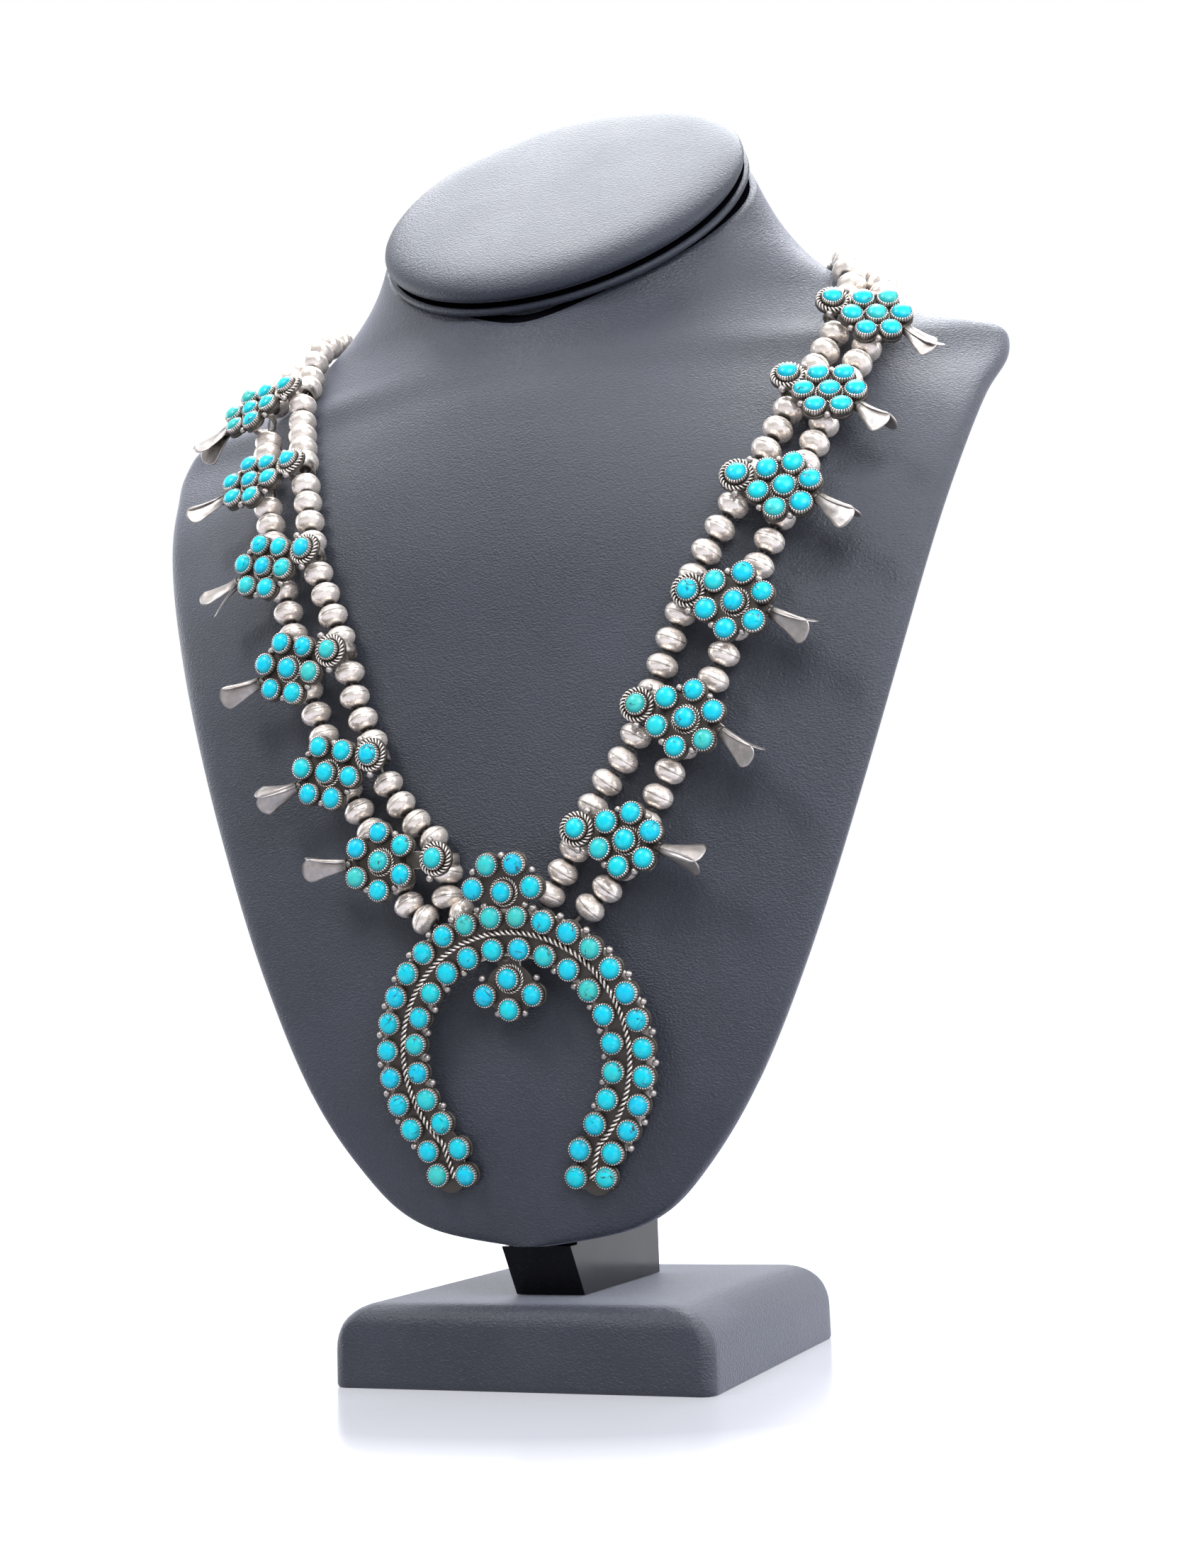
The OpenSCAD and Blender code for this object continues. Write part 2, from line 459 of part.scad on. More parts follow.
// beads, threads and clasp
module bead() {
  h = bead_length / 2 - 0.15;
  r = bead_dia / 2;
  c = (r * r - h * h) / (2 * h);
  difference() {
    union() {
      intersection() {
        translate([0, 0, -c]) sphere(r = h + c);
        translate([0, 0, c]) sphere(r = h + c);
      }
      translate([0, 0, -bead_length / 2]) cylinder(r = bead_bore / 2 + 0.5, h = bead_length);
    }
    translate([0, 0, -bead_length]) cylinder(d = bead_bore, h = 2 * bead_length);
  }
}
function frame_on(p, t) = let (x = unit(cross(t, [0.3, 0.9, 0.1])), y = cross(t, x)) [p, x, y, t];
module strand(k) color(silver) for (s = bead_places(k))
  at_frame(frame_on(along(strand_curves[k], s), heading(strand_curves[k], s))) bead();

// a thread: up one side from the clasp, behind the naja, and back up the other side
module thread(k) {
  left = strand_curves[k];
  right = strand_curves[k + 2];
  beads_end = (top_fill[k][0] + 1.6) * bead_length;
  far = [bail_places(k)[5] + beads_end, bail_places(k + 2)[5] + beads_end];
  p = concat([for (i = [len(left[0]) - 1 : -1 : 1]) left[0][i]], [for (q = right[0]) q]);
  s = concat([for (i = [len(left[0]) - 1 : -1 : 1]) left[1][i] > far[0] ? 1 : 0],
    [for (v = right[1]) v > far[1] ? 1 : 0]);
  n = len(p) - 1;
  color(cord_grey) skin([for (i = [0 : n]) let (t = unit(p[min(n, i + 1)] - p[max(0, i - 1)]),
      f = frame_on(p[i], t), r = (s[i] == 1 ? wrap_dia : thread_dia) / 2)
    [for (j = [0 : 5]) p[i] + r * (cos(60 * j) * f[1] + sin(60 * j) * f[2])]]);
}
clasp_place = [0, 41.3, 287.25];
module end_bar(s) translate([s * 6.6, 0, 0]) difference() {
  translate([-1.2, -2.1, -6.8]) cube([2.4, 4.2, 13.6]);
  for (z = [-4.25, 4.25]) translate([s < 0 ? -2 : -0.2, 0, z]) rotate([0, 90, 0])
    cylinder(d = wrap_dia + 0.8, h = 2.2);
}
module clasp_ring() color(silver) translate(clasp_place) {
  end_bar(1);
  translate([2.7, 0, 0]) rotate([90, 0, 0]) rotate_extrude() translate([2.5, 0]) circle(r = 0.6, $fn = 24);
}
module clasp_hook() color(silver) translate(clasp_place) {
  end_bar(-1);
  translate([-6.6, 1.9, 0]) rotate([0, 90, 0]) cylinder(r = 0.55, h = 8.1, $fn = 24);
  translate([1.5, 0, 0]) rotate([0, 0, -90]) rotate_extrude(angle = 180) translate([1.9, 0])
    circle(r = 0.55, $fn = 24);
  translate([0, -1.9, 0]) rotate([0, 90, 0]) cylinder(r = 0.55, h = 1.5, $fn = 24);
}

base();
pedestal();
bust_torso();
neck_plate();
neck_cap();
blossom(0, 0);  // blossom_left_1
blossom(0, 1);  // blossom_left_2
blossom(0, 2);  // blossom_left_3
blossom(0, 3);  // blossom_left_4
blossom(0, 4);  // blossom_left_5
blossom(0, 5);  // blossom_left_6
blossom(1, 0);  // blossom_right_1
blossom(1, 1);  // blossom_right_2
blossom(1, 2);  // blossom_right_3
blossom(1, 3);  // blossom_right_4
blossom(1, 4);  // blossom_right_5
blossom(1, 5);  // blossom_right_6
blossom_stones(0, 0);  // stones_left_1
blossom_stones(0, 1);  // stones_left_2
blossom_stones(0, 2);  // stones_left_3
blossom_stones(0, 3);  // stones_left_4
blossom_stones(0, 4);  // stones_left_5
blossom_stones(0, 5);  // stones_left_6
blossom_stones(1, 0);  // stones_right_1
blossom_stones(1, 1);  // stones_right_2
blossom_stones(1, 2);  // stones_right_3
blossom_stones(1, 3);  // stones_right_4
blossom_stones(1, 4);  // stones_right_5
blossom_stones(1, 5);  // stones_right_6
naja();
naja_stones_outer();
naja_stones_inner();
naja_stones_middle();
strand(0);  // beads_inner_left
strand(1);  // beads_outer_left
strand(2);  // beads_inner_right
strand(3);  // beads_outer_right
thread(0);  // thread_inner
thread(1);  // thread_outer
clasp_hook();
clasp_ring();
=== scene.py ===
# Squash blossom necklace on its neck bust stand.
# Sizes are in millimetres while a piece is worked out, and metres once it is a mesh.
import math
import bpy
import numpy as np
from mathutils import Matrix, Vector


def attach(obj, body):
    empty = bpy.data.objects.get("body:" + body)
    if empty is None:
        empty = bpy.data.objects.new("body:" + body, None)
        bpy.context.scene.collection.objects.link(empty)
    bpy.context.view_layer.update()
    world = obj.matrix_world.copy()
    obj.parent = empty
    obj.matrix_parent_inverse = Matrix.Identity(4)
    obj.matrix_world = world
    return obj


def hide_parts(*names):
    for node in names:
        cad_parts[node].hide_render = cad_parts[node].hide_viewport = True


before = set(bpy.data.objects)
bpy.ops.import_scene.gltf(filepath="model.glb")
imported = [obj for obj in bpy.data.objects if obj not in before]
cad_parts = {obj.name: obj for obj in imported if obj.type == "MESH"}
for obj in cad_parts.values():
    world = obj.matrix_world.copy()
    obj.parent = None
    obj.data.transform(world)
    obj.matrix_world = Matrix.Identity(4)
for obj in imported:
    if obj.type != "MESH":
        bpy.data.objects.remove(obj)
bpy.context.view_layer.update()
mm = 0.001
print("stage: frame loaded")


def link(name, data):
    obj = bpy.data.objects.new(name, data)
    bpy.context.scene.collection.objects.link(obj)
    return obj


# camera, at the place the picture was taken from
cameraSet = {"azimuth": 21.8, "distance": 566, "height": 78, "yaw": 21.5, "pitch": 7.6, "roll": -2.0,
             "focal": 2945, "frameHeight": 2212, "sensor": 36, "clip": (0.02, 30)}


def makeCamera():
    c = cameraSet
    az, yaw, pitch, roll = (math.radians(c[k]) for k in ("azimuth", "yaw", "pitch", "roll"))
    place = Vector((c["distance"] * math.sin(az), -c["distance"] * math.cos(az), c["height"])) * mm
    ahead = Vector((-math.sin(yaw) * math.cos(pitch), math.cos(yaw) * math.cos(pitch), math.sin(pitch)))
    right = Vector((math.cos(yaw), math.sin(yaw), 0))
    up = right.cross(ahead)
    flat, lean = math.cos(roll), math.sin(roll)
    right, up = flat * right + lean * up, flat * up - lean * right
    data = bpy.data.cameras.new("camera")
    data.lens = c["focal"] / c["frameHeight"] * c["sensor"]
    data.sensor_width = c["sensor"]
    data.clip_start, data.clip_end = c["clip"]
    camera = link("camera", data)
    turn = Matrix((right, up, -ahead)).transposed().to_4x4()
    camera.matrix_world = Matrix.Translation(place) @ turn
    bpy.context.scene.camera = camera


makeCamera()


# material helpers
def feed(tree, n, inputs):
    for key, value in inputs.items():
        if isinstance(value, bpy.types.NodeSocket):
            tree.links.new(value, n.inputs[key])
        else:
            n.inputs[key].default_value = value


def newMaterial(name):
    mat = bpy.data.materials.new(name)
    mat.use_nodes = True
    return mat, mat.node_tree, mat.node_tree.nodes["Principled BSDF"]


def node(tree, kind, inputs=None, **props):
    n = tree.nodes.new(kind)
    for key, value in props.items():
        setattr(n, key, value)
    feed(tree, n, inputs or {})
    return n


def ramp(tree, fac, stops):
    n = node(tree, "ShaderNodeValToRGB", {0: fac})
    while len(n.color_ramp.elements) < len(stops):
        n.color_ramp.elements.new(0.5)
    for e, (place, colour) in zip(n.color_ramp.elements, stops):
        e.position = place
        e.color = (*colour, 1) if len(colour) == 3 else colour
    return n.outputs[0]


def grey(v):
    return (v, v, v)


def mixColour(tree, fac, a, b, how="MIX"):
    a, b = ((*v, 1) if isinstance(v, tuple) else v for v in (a, b))
    return node(tree, "ShaderNodeMix", {0: fac, 6: a, 7: b}, data_type="RGBA", blend_type=how).outputs[2]


def maths(tree, how, a, b=0.0, clamp=False):
    return node(tree, "ShaderNodeMath", {0: a, 1: b}, operation=how, use_clamp=clamp).outputs[0]


# how far a pattern is from its middle value, as a number to add
def swing(tree, pattern, amount):
    return maths(tree, "MULTIPLY", maths(tree, "SUBTRACT", pattern, 0.5), amount)


# two patterns added in shares
def blend(tree, a, shareA, b, shareB):
    return maths(tree, "ADD", maths(tree, "MULTIPLY", a, shareA), maths(tree, "MULTIPLY", b, shareB))


def attribute(tree, name):
    return node(tree, "ShaderNodeAttribute", attribute_name=name).outputs["Fac"]


def noise(tree, vector, scale, detail=4, rough=0.55, distortion=0.0):
    return node(tree, "ShaderNodeTexNoise", {"Vector": vector, "Scale": scale, "Detail": detail,
                                             "Roughness": rough, "Distortion": distortion}).outputs[0]


def objectPoint(tree, scale=(1, 1, 1), rotation=(0, 0, 0), place=(0, 0, 0)):
    point = node(tree, "ShaderNodeTexCoord").outputs["Object"]
    if scale == (1, 1, 1) and rotation == (0, 0, 0) and place == (0, 0, 0):
        return point
    return node(tree, "ShaderNodeMapping", {"Vector": point, "Scale": scale, "Rotation": rotation,
                                            "Location": place}).outputs[0]


def bump(tree, height, strength, distance, below=None):
    n = node(tree, "ShaderNodeBump", {"Height": height, "Strength": strength, "Distance": distance})
    if below is not None:
        tree.links.new(below, n.inputs["Normal"])
    return n.outputs[0]


# materials
leatherSet = {"dark": (0.015, 0.018, 0.027), "light": (0.027, 0.032, 0.046), "roughness": 0.43,
              "tint": (0.81, 0.84, 1, 1), "clouds": 30, "folds": 2200, "cells": 2400, "pores": 3400}


def makeLeatherette(name, wrinkle, sheen, shine):
    mat, tree, shader = newMaterial(name)
    c, rough = leatherSet, leatherSet["roughness"]
    point = objectPoint(tree)
    cloud = noise(tree, point, c["clouds"], 4)
    pores = noise(tree, point, c["pores"], 3, 0.6)
    folds = noise(tree, objectPoint(tree, scale=(0.6, 0.6, 1)), c["folds"], 3, 0.55, 0.5)
    cells = node(tree, "ShaderNodeTexVoronoi", {"Vector": objectPoint(tree, scale=(0.7, 0.7, 1)),
                                                "Scale": c["cells"], "Randomness": 1},
                 feature="SMOOTH_F1").outputs["Distance"]
    lower = bump(tree, folds, 0.5 * wrinkle, 0.0005)
    middle = bump(tree, cells, 0.5 * wrinkle, 0.00025, lower)
    tone = blend(tree, cloud, 0.45, folds, 0.55)
    worn = blend(tree, pores, 0.5, cloud, 0.5)
    feed(tree, shader, {
        "Normal": bump(tree, pores, 0.22, 0.0002, middle),
        "Base Color": ramp(tree, tone, [(0.36, c["dark"]), (0.64, c["light"])]),
        "Roughness": ramp(tree, worn, [(0.3, grey(rough - 0.05)), (0.7, grey(rough + 0.1))]),
        "Sheen Weight": sheen, "Sheen Roughness": 0.35, "Sheen Tint": c["tint"], "Specular IOR Level": shine})
    return mat


# painted shade for the deep grooves, a plain black with no shine
def makeGrooveShade():
    mat, tree, shader = newMaterial("grooveShade")
    feed(tree, shader, {"Base Color": (0.002, 0.002, 0.003, 1), "Roughness": 0.9, "Specular IOR Level": 0})
    return mat


glossSet = {"colour": (0.008, 0.008, 0.011), "dust": (0.02, 0.02, 0.022), "roughness": 0.14, "smeared": 0.26,
            "shine": 0.35}


def makeGlossBlack():
    mat, tree, shader = newMaterial("glossBlack")
    c, point = glossSet, objectPoint(tree)
    smear = noise(tree, point, 60, 5, 0.6)
    dust = noise(tree, point, 900, 2)
    feed(tree, shader, {
        "Roughness": ramp(tree, smear, [(0.4, grey(c["roughness"])), (0.75, grey(c["smeared"]))]),
        "Base Color": ramp(tree, dust, [(0.62, c["colour"]), (0.72, c["dust"])]),
        "Specular IOR Level": c["shine"]})
    return mat


silverSet = {"bright": (0.96, 0.87, 0.79), "warm": (0.7, 0.6, 0.52), "soot": (0.085, 0.075, 0.065),
             "grey": (0.4, 0.37, 0.355), "patches": 380, "scratches": 900, "dents": 330}


# soot is a point attribute, 1 in the recesses where the tarnish is left
def makeSilver(name, rough, hammer, metal, bright=silverSet["bright"]):
    mat, tree, shader = newMaterial(name)
    c, point = silverSet, objectPoint(tree)
    patch = noise(tree, point, c["patches"], 5, 0.65)
    scratch = noise(tree, objectPoint(tree, scale=(1, 1, 5), rotation=(0.5, 0.3, 0.2)), c["scratches"], 4, 0.6)
    worn = mixColour(tree, ramp(tree, patch, [(0.42, grey(0)), (0.8, grey(0.75))]), bright, c["warm"])
    deep = maths(tree, "ADD", attribute(tree, "soot"), swing(tree, patch, 0.9), True)
    mask = ramp(tree, deep, [(0.3, grey(0)), (0.72, grey(1))])
    ground = ramp(tree, scratch, [(0.3, grey(rough)), (0.75, grey(rough + 0.16))])
    dents = bump(tree, noise(tree, point, c["dents"], 2, 0.4), hammer, 0.0005)
    feed(tree, shader, {
        "Base Color": mixColour(tree, mask, worn, c["soot"]), "Metallic": metal,
        "Roughness": mixColour(tree, mask, ground, grey(0.5)),
        "Normal": bump(tree, scratch, 0.1, 0.00006, dents)})
    return mat


# rim is the colour of the painted shade at a stone's edge
turquoiseSet = {"blue": (0.002, 0.5, 0.7), "sky": (0.004, 0.58, 0.64), "green": (0.06, 0.48, 0.4),
                "pale": (0.2, 0.8, 0.8), "rim": (0.003, 0.14, 0.17), "matrix": (0.035, 0.02, 0.012), "veins": 330}


# tone is a point attribute, 0 for the bluest stone and 1 for the greenest; rim is 1 at a stone's edge, where
# painted shade darkens the stone
def makeTurquoise():
    mat, tree, shader = newMaterial("turquoise")
    c, point = turquoiseSet, objectPoint(tree)
    cloud = noise(tree, point, 420, 4, 0.6, 0.5)
    drift = maths(tree, "ADD", attribute(tree, "tone"), swing(tree, cloud, 0.8), True)
    body = ramp(tree, drift, [(0.0, c["blue"]), (0.5, c["sky"]), (1.0, c["green"])])
    pale = noise(tree, point, 900, 3, 0.6)
    body = mixColour(tree, ramp(tree, pale, [(0.5, grey(0)), (0.9, grey(0.3))]), body, c["pale"])
    # painted shade: each stone darkens towards its edge
    rim = ramp(tree, attribute(tree, "rim"), [(0.55, grey(0)), (1, grey(0.7))])
    body = mixColour(tree, rim, body, c["rim"])
    veins = node(tree, "ShaderNodeTexVoronoi", {"Vector": point, "Scale": c["veins"]}, feature="DISTANCE_TO_EDGE")
    web = maths(tree, "ADD", veins.outputs["Distance"], maths(tree, "MULTIPLY", noise(tree, point, 700, 4), 0.35))
    lines = ramp(tree, web, [(0.165, grey(1)), (0.2, grey(0))])
    spots = ramp(tree, noise(tree, point, 1300, 3, 0.7), [(0.66, grey(0)), (0.71, grey(1))])
    where = noise(tree, objectPoint(tree, place=(0.3, 0.1, 0.2)), 230, 3)
    dirt = maths(tree, "MULTIPLY", maths(tree, "MAXIMUM", lines, spots),
                 ramp(tree, where, [(0.5, grey(0)), (0.6, grey(0.85))]))
    feed(tree, shader, {
        "Base Color": mixColour(tree, dirt, body, c["matrix"]), "Roughness": 0.25, "Specular IOR Level": 0.3,
        "Subsurface Weight": 0.08, "Subsurface Radius": (0.0004, 0.001, 0.001),
        "Normal": bump(tree, pale, 0.12, 0.0001)})
    return mat


cordSet = {"dark": (0.10, 0.09, 0.08), "light": (0.30, 0.28, 0.25), "fibres": 1700}


def makeCordStuff():
    mat, tree, shader = newMaterial("wrappedCord")
    fibre = noise(tree, objectPoint(tree), cordSet["fibres"], 4)
    feed(tree, shader, {
        "Base Color": ramp(tree, fibre, [(0.3, cordSet["dark"]), (0.7, cordSet["light"])]),
        "Roughness": 0.75, "Sheen Weight": 0.3, "Normal": bump(tree, fibre, 0.4, 0.0001)})
    return mat


bustLeather = makeLeatherette("leatherette", wrinkle=1.0, sheen=0.42, shine=0.6)
# a copy of the leatherette with less sheen and shine for the neck cap and plate, so that they take less of the
# top light: painted shade
dimmedLeather = makeLeatherette("dimmedLeatherette", wrinkle=0.8, sheen=0.12, shine=0.34)
grooveShade = makeGrooveShade()
glossBlack = makeGlossBlack()
beadSilver = makeSilver("beadSilver", rough=0.18, hammer=0.5, metal=0.62)
workSilver = makeSilver("workSilver", rough=0.28, hammer=0.25, metal=0.75)
petalSilver = makeSilver("petalSilver", rough=0.34, hammer=0.45, metal=0.9, bright=silverSet["grey"])
turquoise = makeTurquoise()
cordStuff = makeCordStuff()
print("stage: materials")


# meshes
def makeObject(name, points, faces, material=None, smooth=True):
    mesh = bpy.data.meshes.new(name)
    mesh.from_pydata((np.asarray(points, float) * mm).tolist(), [], [tuple(int(i) for i in f) for f in faces])
    mesh.validate()
    mesh.polygons.foreach_set("use_smooth", [smooth] * len(mesh.polygons))
    if material:
        mesh.materials.append(material)
    return link(name, mesh)


def setAttribute(obj, name, values):
    mesh = obj.data
    attribute = mesh.attributes.get(name) or mesh.attributes.new(name, "FLOAT", "POINT")
    attribute.data.foreach_set("value", np.asarray(values, np.float32))


def pointsOf(obj):
    co = np.zeros(len(obj.data.vertices) * 3)
    obj.data.vertices.foreach_get("co", co)
    return co.reshape(-1, 3)


def remove(obj):
    data = obj.data
    bpy.data.objects.remove(obj)
    if isinstance(data, bpy.types.Mesh):
        bpy.data.meshes.remove(data)
    elif isinstance(data, bpy.types.Curve):
        bpy.data.curves.remove(data)


# faces through rings of points with the same count, from the bottom up, closed at both ends
def skin(rings, closed=(True, True)):
    n, m = len(rings[0]), len(rings)
    points = np.concatenate(rings)
    j = np.arange(n)
    k = (j + 1) % n
    faces = []
    for i in range(m - 1):
        faces += np.stack([i * n + j, i * n + k, (i + 1) * n + k, (i + 1) * n + j], 1).tolist()
    if closed[0]:
        faces.append(list(range(n))[::-1])
    if closed[1]:
        faces.append([(m - 1) * n + a for a in range(n)])
    return points, faces


def joined(name, parts):
    bpy.ops.object.select_all(action="DESELECT")
    for o in parts:
        o.select_set(True)
    bpy.context.view_layer.objects.active = parts[0]
    bpy.ops.object.join()
    parts[0].name = name
    parts[0].data.name = name
    return parts[0]


def ride(obj, slot, *nodes):
    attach(obj, "root")
    if nodes:
        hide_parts(*nodes)
    return obj


# geometry node trees
def newTree(name, sockets):
    tree = bpy.data.node_groups.new(name, "GeometryNodeTree")
    tree.interface.new_socket("Geometry", in_out="INPUT", socket_type="NodeSocketGeometry")
    for label, kind, value in sockets:
        s = tree.interface.new_socket(label, in_out="INPUT", socket_type=kind)
        if value is not None:
            s.default_value = value
    tree.interface.new_socket("Geometry", in_out="OUTPUT", socket_type="NodeSocketGeometry")
    return tree, tree.nodes.new("NodeGroupInput"), tree.nodes.new("NodeGroupOutput")


def endTree(tree, start, end, geometry):
    real = node(tree, "GeometryNodeRealizeInstances", {"Geometry": geometry})
    done = node(tree, "GeometryNodeSetMaterial", {"Geometry": real.outputs[0],
                                                  "Material": start.outputs["Material"]})
    tree.links.new(done.outputs[0], end.inputs[0])
    return tree


# copies of one part on points, each turned by its point's own angles and sized by its own numbers
def makeScatterTree():
    tree, start, end = newTree("scatterTree", [("Part", "NodeSocketObject", None),
                                               ("Material", "NodeSocketMaterial", None)])
    info = node(tree, "GeometryNodeObjectInfo", {"Object": start.outputs["Part"]})
    angles, size = (node(tree, "GeometryNodeInputNamedAttribute", {"Name": name}, data_type="FLOAT_VECTOR")
                    for name in ("angles", "size"))
    turn = node(tree, "FunctionNodeEulerToRotation", {0: angles.outputs[0]})
    cloud = node(tree, "GeometryNodeInstanceOnPoints", {"Points": start.outputs["Geometry"],
                                                        "Instance": info.outputs["Geometry"],
                                                        "Rotation": turn.outputs[0], "Scale": size.outputs[0]})
    return endTree(tree, start, end, cloud.outputs[0])


# wires twisted round a curve: Strands of them, Off from its middle, turned Turns times over its length
def makeRopeTree():
    tree, start, end = newTree("ropeTree", [
        ("Wire", "NodeSocketFloat", 0.0004), ("Off", "NodeSocketFloat", 0.0004),
        ("Turns", "NodeSocketFloat", 10.0), ("Strands", "NodeSocketInt", 2),
        ("Sides", "NodeSocketInt", 7), ("Material", "NodeSocketMaterial", None)])
    along = node(tree, "GeometryNodeSplineParameter")
    angle = maths(tree, "MULTIPLY", along.outputs["Factor"], start.outputs["Turns"])
    tilt = maths(tree, "MULTIPLY", angle, 2 * math.pi)
    twisted = node(tree, "GeometryNodeSetCurveTilt", {"Curve": start.outputs["Geometry"], "Tilt": tilt})
    count = start.outputs["Strands"]
    share = maths(tree, "DIVIDE", node(tree, "GeometryNodeInputIndex").outputs[0], count)
    way = maths(tree, "MULTIPLY", share, 2 * math.pi)
    place = node(tree, "ShaderNodeCombineXYZ", {
        axis: maths(tree, "MULTIPLY", maths(tree, how, way), start.outputs["Off"])
        for axis, how in (("X", "COSINE"), ("Y", "SINE"))})
    spots = node(tree, "GeometryNodePoints", {"Count": count, "Position": place.outputs[0]})
    wire = node(tree, "GeometryNodeCurvePrimitiveCircle", {"Resolution": start.outputs["Sides"],
                                                           "Radius": start.outputs["Wire"]})
    wires = node(tree, "GeometryNodeInstanceOnPoints", {"Points": spots.outputs[0], "Instance": wire.outputs[0]})
    profile = node(tree, "GeometryNodeRealizeInstances", {"Geometry": wires.outputs[0]})
    body = node(tree, "GeometryNodeCurveToMesh", {"Curve": twisted.outputs[0],
                                                  "Profile Curve": profile.outputs[0], "Fill Caps": True})
    soft = node(tree, "GeometryNodeSetShadeSmooth", {"Geometry": body.outputs[0]})
    return endTree(tree, start, end, soft.outputs[0])


# what a tree makes of an object, as a plain mesh in the object's stead
def bake(obj, tree, name, **inputs):
    modifier = obj.modifiers.new("nodes", "NODES")
    modifier.node_group = tree
    ids = {s.name: s.identifier for s in tree.interface.items_tree if s.in_out == "INPUT"}
    for label, value in inputs.items():
        modifier[ids[label]] = value
    bpy.context.view_layer.update()
    made = bpy.data.meshes.new_from_object(obj.evaluated_get(bpy.context.evaluated_depsgraph_get()))
    made.name = name
    obj.modifiers.clear()
    done = link(name, made)
    remove(obj)
    return done


scatterTree = makeScatterTree()
ropeTree = makeRopeTree()


def scatter(name, part, places, turns, material, sizes=None, tones=None):
    cloud = makeObject(name + "Points", places, [])
    sizes = np.ones((len(places), 3)) if sizes is None else sizes
    for label, values in (("angles", turns), ("size", sizes)):
        a = cloud.data.attributes.new(label, "FLOAT_VECTOR", "POINT")
        a.data.foreach_set("vector", np.asarray(values, np.float32).ravel())
    if tones is not None:
        setAttribute(cloud, "tone", tones)
    return bake(cloud, scatterTree, name, Part=part, Material=material)


def polyCurve(name, points, cyclic=False):
    data = bpy.data.curves.new(name, "CURVE")
    data.dimensions = "3D"
    spline = data.splines.new("POLY")
    spline.points.add(len(points) - 1)
    spline.points.foreach_set("co", np.concatenate([np.asarray(points, float) * mm,
                                                    np.ones((len(points), 1))], 1).ravel())
    spline.use_cyclic_u = cyclic
    return link(name, data)


def makeRope(name, line, wire, off, turns, material, strands=2, sides=7, cyclic=False):
    return bake(polyCurve(name, line, cyclic), ropeTree, name, Wire=wire * mm, Off=off * mm, Turns=float(turns),
                Strands=strands, Sides=sides, Material=material)


# tarnish in the grooves of a rope: how far each point is inside its outer radius
def sootRope(obj, line, outer, depth):
    co = pointsOf(obj) / mm
    line = np.asarray(line, float)
    few = 4000   # points worked out at a time, to spare memory
    away = np.concatenate([np.sqrt(((co[a:a + few, None] - line[None]) ** 2).sum(-1).min(1))
                           for a in range(0, len(co), few)])
    setAttribute(obj, "soot", np.clip((outer - away) / depth, 0, 1))


# the bust's surface, from its sections
bustSet = {
    # height, half width, middle depth, half rim, front bulge, back bulge, spread, sharpness
    "rows": [[33.5, 5, -38.5, 2.5, 3, 1, 2, 0.8], [36, 23, -38.8, 2.5, 3, 2, 2, 0.8],
             [41, 35, -39.2, 2.7, 3, 3.5, 2, 0.8], [51, 45.6, -40, 2.8, 3, 4, 2, 0.8],
             [70, 59.3, -41.2, 3, 3, 6.5, 2, 0.8], [101, 74, -40.6, 3, 3.2, 9, 2, 0.8],
             [140, 88.3, -38.4, 3, 4.2, 12.5, 2, 0.8], [177, 100.2, -34.3, 3, 7, 19.5, 2, 0.8],
             [207, 109.1, -28, 3.5, 12.3, 27.4, 2, 1.2], [231, 116.2, -18.5, 4, 18.5, 31.5, 1.9, 1.6],
             [245, 120, -9, 4.5, 24.5, 28.5, 1.8, 1.8], [257, 124, 1.5, 5, 31, 22.5, 1.7, 1.8],
             [265, 122.8, 7, 6, 32.5, 18, 1.7, 1.7], [272, 103.9, 10.6, 6, 33.6, 16.4, 1.7, 1.4],
             [286, 81.8, 15, 6, 32.5, 14, 1.8, 1], [300, 66.7, 16.8, 3, 33, 16.2, 2, 0.6],
             [315, 57.6, 13, 1, 32, 21.5, 2, 0.5], [340, 50, 7, 1, 33, 26.5, 2, 0.5],
             [368, 50, 0.7, 1, 33.3, 32.3, 2, 0.5]],
    "neckMiddle": (0, 7.6, 317.1), "capTilt": 50, "foot": 33.5, "join": 240, "cutStart": 310.0,
    "cutRange": (250, 366), "rimPower": 50, "around": 176, "lower": 130, "upper": 90, "evened": 8}


# slopes and values along a table, smoothed without overshoot
def rowSlopes(t):
    h = np.diff(t[:, 0])[:, None]
    s = np.diff(t, axis=0) / h
    m = np.empty_like(t)
    m[0], m[-1] = s[0], s[-1]
    for i in range(1, len(t) - 1):
        a, b, p, q = s[i - 1], s[i], h[i - 1], h[i]
        safeA, safeB = np.where(a == 0, 1, a), np.where(b == 0, 1, b)
        m[i] = np.where(a * b <= 0, 0, 3 * (p + q) / ((2 * q + p) / safeA + (q + 2 * p) / safeB))
    return m


def rowAt(t, m, z):
    i = int(np.clip(np.searchsorted(t[:, 0], z, "right") - 1, 0, len(t) - 2))
    h = t[i + 1, 0] - t[i, 0]
    u = (z - t[i, 0]) / h
    p, q = u * u, u * u * u
    return (2 * q - 3 * p + 1) * t[i] + (q - 2 * p + u) * h * m[i] \
        + (3 * p - 2 * q) * t[i + 1] + (q - p) * h * m[i + 1]


bustTable = np.array(bustSet["rows"], float)
bustSlopes = rowSlopes(bustTable)


# how far the rim and the bulge of a section stand out, at a share of its half width
def standOut(r, share):
    return math.sqrt(max(0, 1 - share ** bustSet["rimPower"])), max(0, 1 - share ** r[6]) ** r[7]


def frontY(x, z):
    r = rowAt(bustTable, bustSlopes, z)
    rim, full = standOut(r, min(1, abs(x) / r[1]))
    return r[2] - r[3] * rim - r[4] * full


def sidePoint(a, z):
    r = rowAt(bustTable, bustSlopes, z)
    t = -math.cos(a)
    rim, full = standOut(r, abs(t))
    y = r[2] - r[3] * rim - r[4] * full if a < math.pi else r[2] + r[3] * rim + r[5] * full
    return np.array([r[1] * t, y, z])


